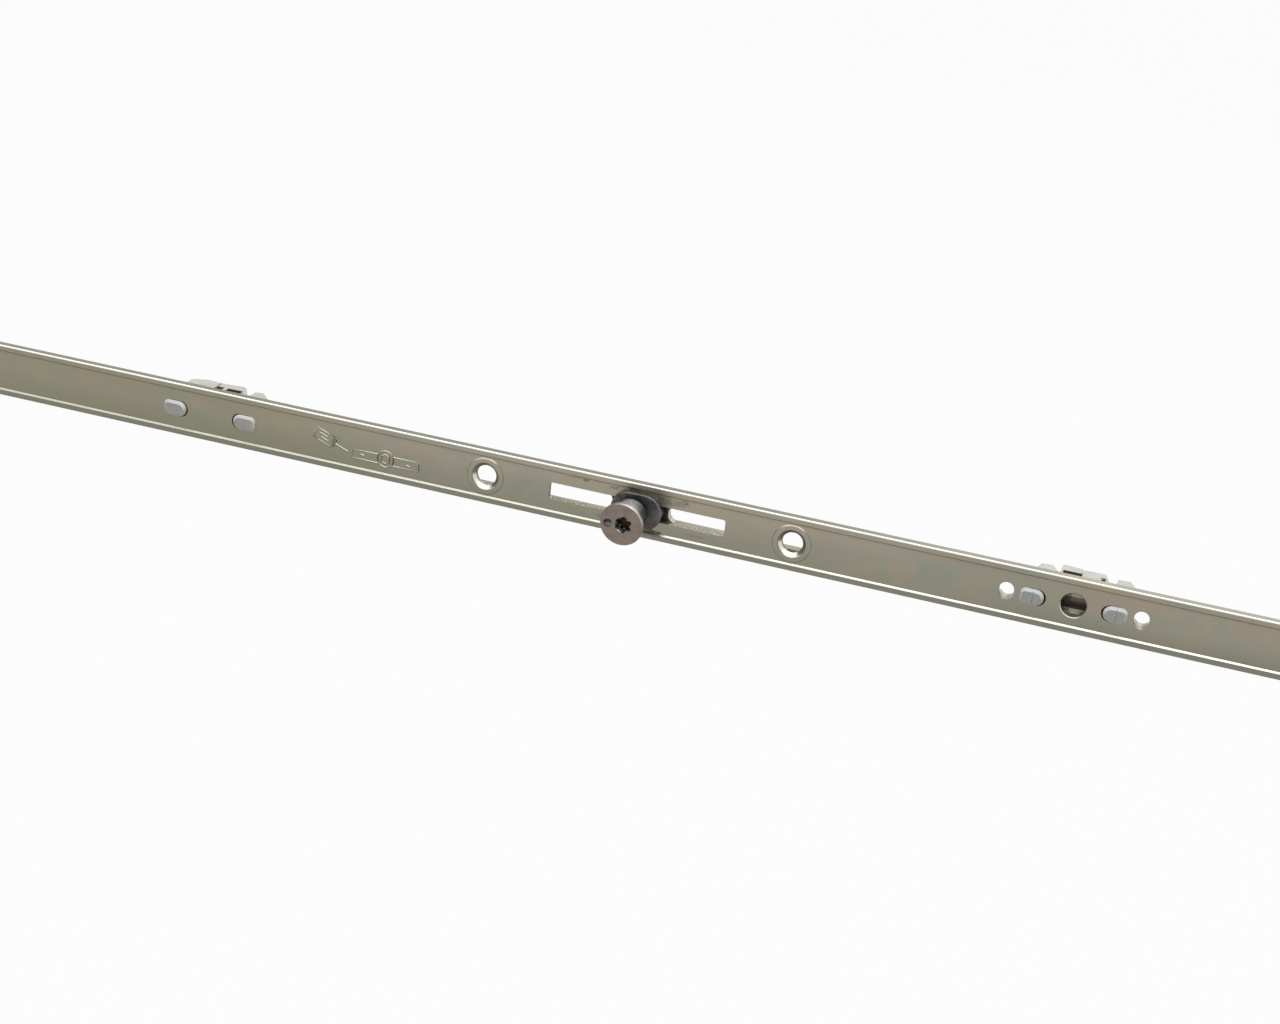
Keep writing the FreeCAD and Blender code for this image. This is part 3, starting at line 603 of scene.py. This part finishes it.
# %% [markdown]
# The cam's pin is turned on a lathe, so its face carries faint rings about the head's own axis, a
# little beside the stem's. An anisotropic gloss would show them too, but noise that runs with the
# distance from the axis is plainer and also lasts through an export. The face has dulled to a
# brownish grey. Its chamfer and edges get a painted highlight where they face up and right, and the
# rest of the chamfer painted shade. The star socket, on the stem's axis, is dark with old grease and
# painted shade, with painted glints inside, a painted highlight at its mouth and on the lower left
# of its rim, and old grease on the upper left of its rim. The marker dimple gets painted shade in its
# upper part and painted light in its lower part, and painted shade darkens the pin's foot behind the
# roller. The frame gives the head's axis and its face.

# %% Where the cam's axes and faces are
neck = next(mount for mount in mounts if mount["name"] == "locking_cam_neck")
HEAD_AXIS = neck["pos_m"][0] / MM
ECCENTRICITY = 0.6
STEM_AXIS = HEAD_AXIS + ECCENTRICITY
HEAD_FACE = cad_box[0][1] / MM - FRONT
HEAD_CHAMFER = 5.9
SOCKET_RADIUS = 2.5
SOCKET_END = -6.0
DIMPLE = (HEAD_AXIS - 3.9, -0.25)
DIMPLE_RADIUS = 1.25
DIMPLE_DEPTH = 1.0
PIN_FOOT = -3.1
print("head axis %.2f, stem axis %.2f, head face %.2f mm" % (HEAD_AXIS, STEM_AXIS, HEAD_FACE))


# %% Finish: turned cam pin
def star_socket(finish):
    """The mask of the socket's hollow, and its grease with painted shade, glints and highlight."""
    hollow = finish.away(STEM_AXIS, 0.0).fall(SOCKET_RADIUS - 0.05, SOCKET_RADIUS + 0.1)
    hollow = hollow * finish.y.rise(HEAD_FACE + 0.05, HEAD_FACE + 0.7)
    hollow = hollow * finish.y.fall(SOCKET_END, SOCKET_END + 1.0)
    # Painted glints among the grease, and a painted highlight on mouth walls that face up and right.
    socket_glints = finish.noise(finish.stretch(1.8, 1.8, 1.8, 2.0))
    grease_shade_and_glints = finish.mix(socket_glints.rise(0.52, 0.62) * 0.5, srgb(14, 11, 9), srgb(104, 78, 54))
    lit = (finish.upwards * 0.7 + finish.across * 0.5).rise(0.25, 0.7)
    mouth = lit * finish.y.fall(HEAD_FACE + 0.5, HEAD_FACE + 1.6)
    return hollow, finish.mix(mouth * 0.85, grease_shade_and_glints, srgb(206, 203, 196))


def socket_rim(finish):
    """Masks of the dirt at the socket's upper left and of a painted highlight at its lower left."""
    from_stem = finish.away(STEM_AXIS, 0.0)
    upper_left = (finish.z - (finish.x - STEM_AXIS) * 0.9).rise(0.6, 1.6)
    dirt = from_stem.fall(SOCKET_RADIUS - 0.25, SOCKET_RADIUS - 0.05) * upper_left
    dirt = dirt * finish.y.fall(HEAD_FACE + 0.1, HEAD_FACE + 0.3)
    # A painted highlight along the socket's rim at its lower left.
    lower_left = ((finish.x - STEM_AXIS) * -0.5 - finish.z * 0.866).rise(1.9, 2.1)
    rim_highlight = abs(from_stem - (SOCKET_RADIUS - 0.3)).fall(0.12, 0.32) * lower_left
    return dirt, rim_highlight


def turned_pin():
    finish = Finish("cam_steel", Metallic=0.9)
    radius = finish.away(HEAD_AXIS, 0.0)
    turning = finish.node("ShaderNodeCombineXYZ", [radius * 5.0, finish.y * 0.2, 0.0])
    rings = finish.noise(turning, detail=4.0)
    blotches = finish.noise(finish.stretch(0.45, 0.45, 0.45, 8.0), detail=4.0, distortion=0.4)
    face = finish.mix(blotches.rise(0.35, 0.68), srgb(136, 124, 115), srgb(122, 113, 106))

    side = finish.y.rise(HEAD_FACE + 0.3, HEAD_FACE + 0.9)
    # Painted shade on the pin's foot, between the roller and the collar.
    foot_shade = finish.y.rise(PIN_FOOT - 0.2, PIN_FOOT)
    hollow, grease_shade_and_glints = star_socket(finish)
    rim_dirt, rim_highlight = socket_rim(finish)
    dimple = finish.away(*DIMPLE).fall(DIMPLE_RADIUS + 0.01, DIMPLE_RADIUS + 0.05)
    dimple = dimple * finish.y.rise(HEAD_FACE + 0.05, HEAD_FACE + 0.2)
    dimple = dimple * finish.y.fall(HEAD_FACE + DIMPLE_DEPTH - 0.05, HEAD_FACE + DIMPLE_DEPTH)
    # Painted shade in the dimple's upper part and painted light in its lower part.
    dimple_shade_and_light = finish.mix(finish.z.rise(-0.9, -0.3), srgb(150, 142, 134), srgb(34, 32, 29))
    # Painted highlight where the chamfer and edges face up and right; painted shade on the rest of the
    # chamfer.
    lit = (finish.upwards * 0.75 + finish.across * 0.65).rise(0.4, 0.8)
    chamfer = radius.rise(HEAD_CHAMFER - 0.1, HEAD_CHAMFER) * finish.y.fall(HEAD_FACE + 0.4, HEAD_FACE + 0.5)

    colour = finish.coats(
        finish.shade(face, 0.95 + rings * 0.10),
        (side * 0.7, srgb(140, 141, 140)),
        (foot_shade * 0.9, srgb(38, 36, 34)),
        (hollow * 0.9, grease_shade_and_glints),
        (rim_dirt * 0.85, srgb(44, 37, 32)),
        (rim_highlight * 0.8, srgb(208, 203, 194)),
        (dimple * 0.85, dimple_shade_and_light),
        (chamfer * 0.8, finish.mix(lit, srgb(112, 104, 97), srgb(205, 200, 192))),
        (finish.sharp_edges(0.14) * (1 - foot_shade) * lit * 0.3, srgb(205, 199, 190)),
    )
    rough = 0.36 + (blotches - 0.5) * 0.16 + (rings - 0.5) * 0.12 + hollow * 0.2 - chamfer * 0.1
    return finish.set(Base_Color=colour, Roughness=rough, Normal=finish.bumps(rings, 0.012, 0.12))


keep(turned_pin())

# %% [markdown]
# The roller is bright zinc with a blue passivation, polished in bands where the strike plate's lips
# run on it. The bands follow its length, which is the Y axis here. They could be turned as grooves,
# but they are polish more than depth, so noise drives the shine and a hair's breadth of relief. The
# roller's right and lower side lies in shade.


# %% Finish: blue zinc roller
def blue_zinc():
    finish = Finish("roller_zinc", Metallic=0.92)
    bands = finish.noise(finish.stretch(0.3, 2.4, 0.3, 6.0), detail=4.0)
    clouds = finish.noise(finish.stretch(0.5, 0.4, 0.5))
    mottle = finish.noise(finish.stretch(1.3, 1.3, 1.3, 3.0), detail=4.0, roughness=0.65)
    colour = finish.mix(clouds.rise(0.35, 0.65), srgb(188, 192, 192), srgb(158, 162, 160))
    colour = finish.mix(mottle.fall(0.40, 0.50) * 0.6, colour, srgb(104, 107, 104))
    shaded = (finish.across * 0.9 - finish.upwards * 0.5).rise(0.05, 0.65)
    # Painted shade on the right and lower side; pale edges off it are wear and painted highlight.
    colour = finish.coats(
        finish.shade(colour, 0.90 + bands * 0.20),
        (shaded * 0.8, srgb(70, 68, 66)),
        (finish.sharp_edges(0.12) * (1 - shaded) * 0.4, srgb(222, 224, 224)),
    )
    rough = 0.42 + (bands - 0.5) * 0.24
    return finish.set(Base_Color=colour, Roughness=rough, Normal=finish.bumps(bands, 0.012, 0.12))


keep(blue_zinc())

# %% [markdown]
# The guide clips are moulded in pale plastic with a fine eroded texture. Their tab heads, which lie
# in the faceplate's holes, have gone grey from handling and metal dust; the fins behind the rail
# kept their colour, with a warm tinge close to the steel. The windows through the fins are dark
# inside. Shadow alone would leave them grey, because the white surroundings shine into them, so they
# are tinted. Windows and small fins are counted from a clip's middle: one list then serves two clips.

# %% Finish: pale moulded plastic
CLIPS = (LEFT_CLIP, RIGHT_CLIP, END_CLIP)
LEFT_WINDOWS = ((-2.6, -0.3), (1.0, 5.8))
LEFT_SMALL_FINS = ((8.7, 15.4),)
RIGHT_WINDOWS = ((-4.8, 0.2), (5.5, 6.6))
RIGHT_SMALL_FINS = ((-12.0, -5.8), (9.6, 15.2))
DARK_WINDOW = srgb(58, 36, 22)


def clip_spans(left_spans, right_spans):
    """Places along the rail where windows or small fins of the three clips start and end."""
    spans = []
    for clip in CLIPS:
        for start, stop in left_spans if clip == LEFT_CLIP else right_spans:
            spans.append((clip + start, clip + stop))
    return spans


def fin_colour(finish):
    """Pale plastic, warm near the steel, painted shade on edges and faces to the right, dark in windows."""
    clouds = finish.noise(finish.stretch(0.25, 0.25, 0.25, 7.0))
    small_fin = 0.0
    for start, stop in clip_spans(LEFT_SMALL_FINS, RIGHT_SMALL_FINS):
        small_fin += finish.between(start, stop)
    near_steel = finish.y.fall(7.3, 9.2) * (1 - small_fin)
    colour = finish.coats(
        finish.mix(clouds.rise(0.3, 0.7), srgb(232, 232, 226), srgb(220, 219, 211)),
        (near_steel * 0.6, srgb(226, 208, 186)),
        # Painted shade on faces that point right and along the edges.
        (finish.across.rise(0.5, 0.9) * 0.6, srgb(172, 164, 156)),
        (finish.sharp_edges(0.6) * 0.6, srgb(160, 156, 148)),
    )
    depth = finish.y.rise(6.9, 7.05) * finish.y.fall(9.6, 9.75)
    for start, stop in clip_spans(LEFT_WINDOWS, RIGHT_WINDOWS):
        slit = finish.between(start - 0.05, stop + 0.05) * depth
        colour = finish.mix(slit * 0.92, colour, DARK_WINDOW)
    return colour


def shaded_wall(finish):
    """Mask and colour of the clip's wall that shows through the rod's slot and the round hole."""
    behind_rod = abs(finish.z).fall(1.7, 2.6) * finish.y.rise(2.6, 4.0) * finish.y.fall(6.0, 6.5)
    from_left = (finish.x - finish.z * 0.5).rise(RIGHT_CLIP - 1.8, RIGHT_CLIP - 0.8)
    wall = finish.mix(from_left, srgb(54, 52, 46), srgb(146, 134, 124))
    return behind_rod, finish.mix(finish.z.fall(-0.75, -0.45), wall, srgb(30, 24, 18))


def tab_head(finish, grains):
    """Grey grime on the tabs' heads; pale bevels, with painted highlights, and painted light in the seam."""
    grime = finish.mix(grains.rise(0.42, 0.62), srgb(183, 182, 181), srgb(160, 160, 158))
    # Pale bevels with a painted highlight where they face up.
    bevel_highlight = finish.mix(finish.upwards.rise(-0.2, 0.5), srgb(200, 190, 179), srgb(232, 236, 234))
    # Painted light in the seam's groove and on its step lifts their shade.
    groove = abs(finish.across).rise(0.8, 0.95) * finish.y.fall(-0.1, 0.0)
    step = abs(finish.back).rise(0.9, 0.97) * finish.y.rise(-0.3, -0.2)
    return finish.coats(
        grime,
        (abs(finish.back).fall(0.8, 0.95), bevel_highlight),
        (groove.most(step) * 0.65, srgb(232, 234, 234)),
    )


def pale_plastic():
    finish = Finish("clip_plastic", Metallic=0.0, Specular_IOR_Level=0.45)
    grains = finish.noise(finish.stretch(3.5, 3.5, 3.5))
    behind_rod, wall = shaded_wall(finish)
    head = finish.y.fall(0.55, 1.2)
    colour = finish.coats(
        fin_colour(finish),
        (behind_rod * 0.9, wall),
        (head, tab_head(finish, grains)),
    )
    colour = finish.shade(colour, 0.965 + grains * 0.07)
    rough = 0.46 + (grains - 0.5) * 0.2 - head * 0.08
    return finish.set(Base_Color=colour, Roughness=rough, Normal=finish.bumps(grains, 0.02, 0.15))


keep(pale_plastic())

# %% [markdown]
# The gearbox case, the couplings and the follower are die-cast zinc: matt, slightly pitted, with a
# faint flow pattern from the mould and rubbed corners. The handle screws' bushes are brass, by the
# same recipe with other colours, less pitted and glossier, so one function makes all three. The
# follower's bushes are dark moulded plastic.


# %% Finish: castings, brass and dark plastic
def cast_metal(name, light, dark, metallic=0.85, roughness=0.42, pits=0.03):
    """Metal with a cloudy flow pattern, pits of a depth in millimetres and rubbed corners."""
    finish = Finish(name, Metallic=metallic)
    flow = finish.noise(finish.stretch(0.06, 0.09, 0.09, 3.0), detail=5.0, distortion=0.3)
    pitting = finish.noise(finish.stretch(2.0, 2.0, 2.0, 1.0), detail=4.0)
    colour = finish.mix(flow.rise(0.30, 0.70) * 0.7, light, dark)
    colour = finish.coats(
        finish.shade(colour, 0.96 + pitting * 0.08),
        (pitting.rise(0.62, 0.74) * 0.35, srgb(70, 70, 66)),
        (finish.sharp_edges(0.2) * 0.4, srgb(216, 216, 210)),
    )
    rough = roughness + (flow - 0.5) * 0.16 + (pitting - 0.5) * 0.14
    return finish.set(Base_Color=colour, Roughness=rough, Normal=finish.bumps(pitting, pits, 0.18))


def dark_plastic():
    finish = Finish("bush_plastic", Metallic=0.0)
    grains = finish.noise(finish.stretch(3.0, 3.0, 3.0, 2.0))
    colour = finish.mix(grains.rise(0.35, 0.7), srgb(52, 54, 58), srgb(70, 72, 76))
    rough = 0.42 + (grains - 0.5) * 0.2
    return finish.set(Base_Color=colour, Roughness=rough, Normal=finish.bumps(grains, 0.02, 0.15))


keep(cast_metal("case_zinc", srgb(168, 168, 162), srgb(146, 146, 142)))
keep(cast_metal("follower_zinc", srgb(158, 156, 148), srgb(136, 134, 128), roughness=0.34))
keep(cast_metal(
    "bush_brass", srgb(196, 166, 98), srgb(172, 142, 80), metallic=0.95, roughness=0.28, pits=0.01,
))
keep(dark_plastic())

# %% [markdown]
# The record names a material slot for every piece of the frame. Each finish above bears the name of
# its slot, so putting the finishes on is a matter of looking names up, and a piece that is added to
# one of these slots later finds its finish too.

# %% Put each finish on its nodes
slot_of = {row["node"]: row["material_slot"] for row in frame["record"]["subparts"]}
for name, piece in nodes.items():
    for slot in piece.material_slots:
        slot.material = finishes[slot_of[name]]
print("finished nodes:", len(slot_of))

# %% [markdown]
# A small pictogram is pressed into the strip left of the cam: a flat bar with a hexagon in a ring,
# and a key that comes at it from above. It is a plain sign for "adjust here". A pressed line catches
# the light on its upper flank and loses it on its ends, which a bump map cannot do in profile, so the
# lines are real beads: polylines with a round bevel, flattened and sunk half into the steel.


# %% Finish: the pictogram's pressed lines
def pressed_lines():
    finish = Finish("pressed_lines", Metallic=0.9)
    grain = finish.noise(finish.stretch(2.0, 2.0, 2.0))
    # Painted highlight on the beads' upper flanks and painted shade at their ends.
    shaded_ends = (abs(finish.across) * 1.1 - finish.upwards * 0.4).rise(0.2, 0.6)
    colour = finish.coats(
        finish.mix(grain.rise(0.35, 0.65), srgb(128, 122, 105), srgb(112, 108, 94)),
        (finish.upwards.rise(0.0, 0.35), srgb(220, 216, 196)),
        (shaded_ends * 0.95, srgb(70, 65, 53)),
    )
    rough = 0.36 + (grain - 0.5) * 0.2
    return finish.set(Base_Color=colour, Roughness=rough, Normal=finish.bumps(grain, 0.01))


keep(pressed_lines())

# %% [markdown]
# The sign's lines are lists of points on the faceplate, in millimetres along and across the rail.
# Two helpers draw them: one walks round an arc, which with few steps is a hexagon too, and one turns
# a shape that is drawn level, since the key stands at a slant.


# %% Helpers that draw the lines
def arc(centre, radius, start, stop, steps):
    """Points of an arc in the faceplate's plane, angles in degrees."""
    points = []
    for step in range(steps + 1):
        angle = math.radians(start + (stop - start) * step / steps)
        points.append((centre[0] + radius * math.cos(angle), centre[1] + radius * math.sin(angle)))
    return points


def turned(points, pivot, degrees):
    """Points given from a pivot, turned about it in the faceplate's plane."""
    cosine = math.cos(math.radians(degrees))
    sine = math.sin(math.radians(degrees))
    moved = []
    for x, z in points:
        moved.append((pivot[0] + x * cosine - z * sine, pivot[1] + x * sine + z * cosine))
    return moved


print("a hexagon has corners at", [round(x, 2) for x, z in arc((0, 0), 1, 30, 330, 5)])

# %% The sign's bar, ring, hexagon and dashes
SIGN = (-76.1, -1.6)
RING = 2.5
HEXAGON = 1.45
BAR_REACH = 10.4
BAR_DROP = 0.33
BAR_HALF = 1.35
BAR_TOP = -BAR_DROP + BAR_HALF
BAR_BOTTOM = -BAR_DROP - BAR_HALF
DASHES = ((-7.2, 0.3), (7.1, 0.7))
DASH_HALF = 0.6


def half_bar(side):
    """Outline of half the bar: from the ring along its top to one end, and back below."""
    ring_at_top = math.sqrt(RING ** 2 - BAR_TOP ** 2)
    ring_at_bottom = math.sqrt(RING ** 2 - BAR_BOTTOM ** 2)
    outline = (
        (ring_at_top, BAR_TOP), (BAR_REACH, BAR_TOP), (BAR_REACH, BAR_BOTTOM), (ring_at_bottom, BAR_BOTTOM),
    )
    return [(SIGN[0] + side * reach, SIGN[1] + height) for reach, height in outline]


def dash(place, drop):
    """A short slanting stroke inside the bar."""
    middle = SIGN[0] + place
    level = SIGN[1] - drop
    return [(middle - DASH_HALF, level + 0.2), (middle + DASH_HALF, level - 0.1)]


open_lines = [half_bar(-1), half_bar(1)] + [dash(place, drop) for place, drop in DASHES]
closed_lines = [arc(SIGN, RING, 0, 345, 23), arc(SIGN, HEXAGON, 30, 330, 5)]
print("lines of the bar:", len(open_lines), "open and", len(closed_lines), "closed")

# %% The sign's key
KEY_TIP = (-87.8, -1.8)
KEY_SLANT = -21.0
GRIP = [(-5.3, -1.7), (-11.2, -1.7), (-11.2, 1.7), (-5.3, 1.7)]
KEY_STROKES = (
    [(0.0, 0.0), (-4.5, 0.0)],
    [(-4.6, -1.2), (-4.6, 1.2)],
    [(-9.9, 0.5), (-7.4, 0.5)],
    [(-9.2, -0.5), (-6.7, -0.5)],
)
closed_lines.append(turned(GRIP, KEY_TIP, KEY_SLANT))
open_lines += [turned(stroke, KEY_TIP, KEY_SLANT) for stroke in KEY_STROKES]
print("lines with the key:", len(open_lines), "open and", len(closed_lines), "closed")

# %% Beads along the lines
BEAD_RADIUS = 0.24
BEAD_FLATNESS = 0.8


def bead_lines(name, open_lines, closed_lines):
    """One mesh of beads along polylines, flattened front to back and sunk half into the recess."""
    curve = bpy.data.curves.new(name, "CURVE")
    curve.dimensions = "3D"
    curve.bevel_depth = BEAD_RADIUS * MM
    curve.bevel_resolution = 2
    for lines, closed in ((open_lines, False), (closed_lines, True)):
        for points in lines:
            spline = curve.splines.new("POLY")
            spline.points.add(len(points) - 1)
            for point, (x, z) in zip(spline.points, points):
                point.co = (x * MM, 0.0, z * MM, 1.0)
            spline.use_cyclic_u = closed
    holder = bpy.data.objects.new(name + "_curve", curve)
    mesh = bpy.data.meshes.new_from_object(holder)
    bpy.data.objects.remove(holder)
    for vertex in mesh.vertices:
        vertex.co.y = (FRONT + RECESS) * MM + vertex.co.y * BEAD_FLATNESS
    for face in mesh.polygons:
        face.use_smooth = True
    mesh.materials.append(finishes["pressed_lines"])
    piece = bpy.data.objects.new(name, mesh)
    bpy.context.scene.collection.objects.link(piece)
    return piece


pictogram = bead_lines("pictogram", open_lines, closed_lines)
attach(pictogram, "faceplate_unit")
print("pictogram vertices:", len(pictogram.data.vertices))

# %% [markdown]
# Studio. Product shots of such hardware are cut out on white, lit by one broad soft light overhead,
# which draws a bright line along every edge that faces up, while the front faces mirror paler, even
# surroundings. So the world is white to the camera and to reflections but dimmer as a light.

# %% World
WHITE = (1, 1, 1, 1)
WORLD_LIGHT = 0.35


def light_path_mix(wiring, seen, lit, share=1.0):
    """A shader for camera, glossy and transmission rays, by a share, and another for the rest."""
    rays = wiring.node("ShaderNodeLightPath", output="Is Camera Ray")
    for kind in ("Is Glossy Ray", "Is Transmission Ray"):
        rays = rays.most(wiring.node("ShaderNodeLightPath", output=kind))
    return wiring.node("ShaderNodeMixShader", [rays * share, lit, seen])


world = bpy.data.worlds.new("studio")
bpy.context.scene.world = world
world.use_nodes = True
world.node_tree.nodes.clear()
studio = Wiring(world.node_tree)
seen_world = studio.node("ShaderNodeBackground", {"Color": WHITE})
lit_world = studio.node("ShaderNodeBackground", {"Color": WHITE, "Strength": WORLD_LIGHT})
output = world.node_tree.nodes.new("ShaderNodeOutputWorld")
studio.feed(output, {"Surface": light_path_mix(studio, seen_world, lit_world)})
print("world of", len(world.node_tree.nodes), "nodes, light", WORLD_LIGHT)

# %% [markdown]
# One wide area lamp hangs above and a little in front and gives the bright edges. A smaller one
# behind the rail keeps its upper edge and the clips' fins apart from the background. Their strength
# is given as the brightness of the lamp's own face, because that is what polished steel mirrors.


# %% Lamps
def softbox(name, place, aim, width, height, radiance):
    """A rectangular lamp that faces a point; radiance is its brightness, where white paper is 1."""
    data = bpy.data.lights.new(name, "AREA")
    data.shape = "RECTANGLE"
    data.size = width
    data.size_y = height
    data.energy = radiance * math.pi * width * height
    lamp = bpy.data.objects.new(name, data)
    lamp.location = place
    lamp.rotation_euler = (Vector(place) - Vector(aim)).to_track_quat("Z", "Y").to_euler()
    lamp.visible_camera = False
    bpy.context.scene.collection.objects.link(lamp)
    print("%s: %.1f W" % (name, data.energy))


softbox(
    "overhead_softbox", place=(0.10, -0.33, 0.85), aim=(0.0, 0.0, 0.0),
    width=2.2, height=0.5, radiance=1.8,
)
softbox(
    "rear_softbox", place=(0.35, 1.30, 0.62), aim=(0.05, 0.0, 0.0),
    width=1.0, height=0.45, radiance=1.2,
)

# %% [markdown]
# The floor is a plain pale sheet well below the rail. Its paper is nearly white to the camera and
# to reflections, by the same switch as the world, and keeps a little of the shadow.

# %% Floor
FLOOR_Z = -0.22
FLOOR_HALF = 8.0
FLOOR_SHOWN = 0.95
PAPER = (0.86, 0.86, 0.86, 1)
PAPER_ROUGHNESS = 0.9

corners = []
for side_x, side_y in ((-1, -1), (1, -1), (1, 1), (-1, 1)):
    corners.append((side_x * FLOOR_HALF, side_y * FLOOR_HALF, FLOOR_Z))
floor_mesh = bpy.data.meshes.new("studio_floor")
floor_mesh.from_pydata(corners, [], [(0, 1, 2, 3)])
floor = bpy.data.objects.new("studio_floor", floor_mesh)
bpy.context.scene.collection.objects.link(floor)

paper = Finish("floor_paper", Base_Color=PAPER, Roughness=PAPER_ROUGHNESS)
glow = paper.node("ShaderNodeEmission", {"Color": WHITE})
sheet = Wire(paper, paper.shader.outputs[0])
shown = light_path_mix(paper, glow, sheet, FLOOR_SHOWN)
paper.feed(paper.tree.nodes["Material Output"], {"Surface": shown})
floor_mesh.materials.append(paper.material)
print("floor at %.2f m" % FLOOR_Z)
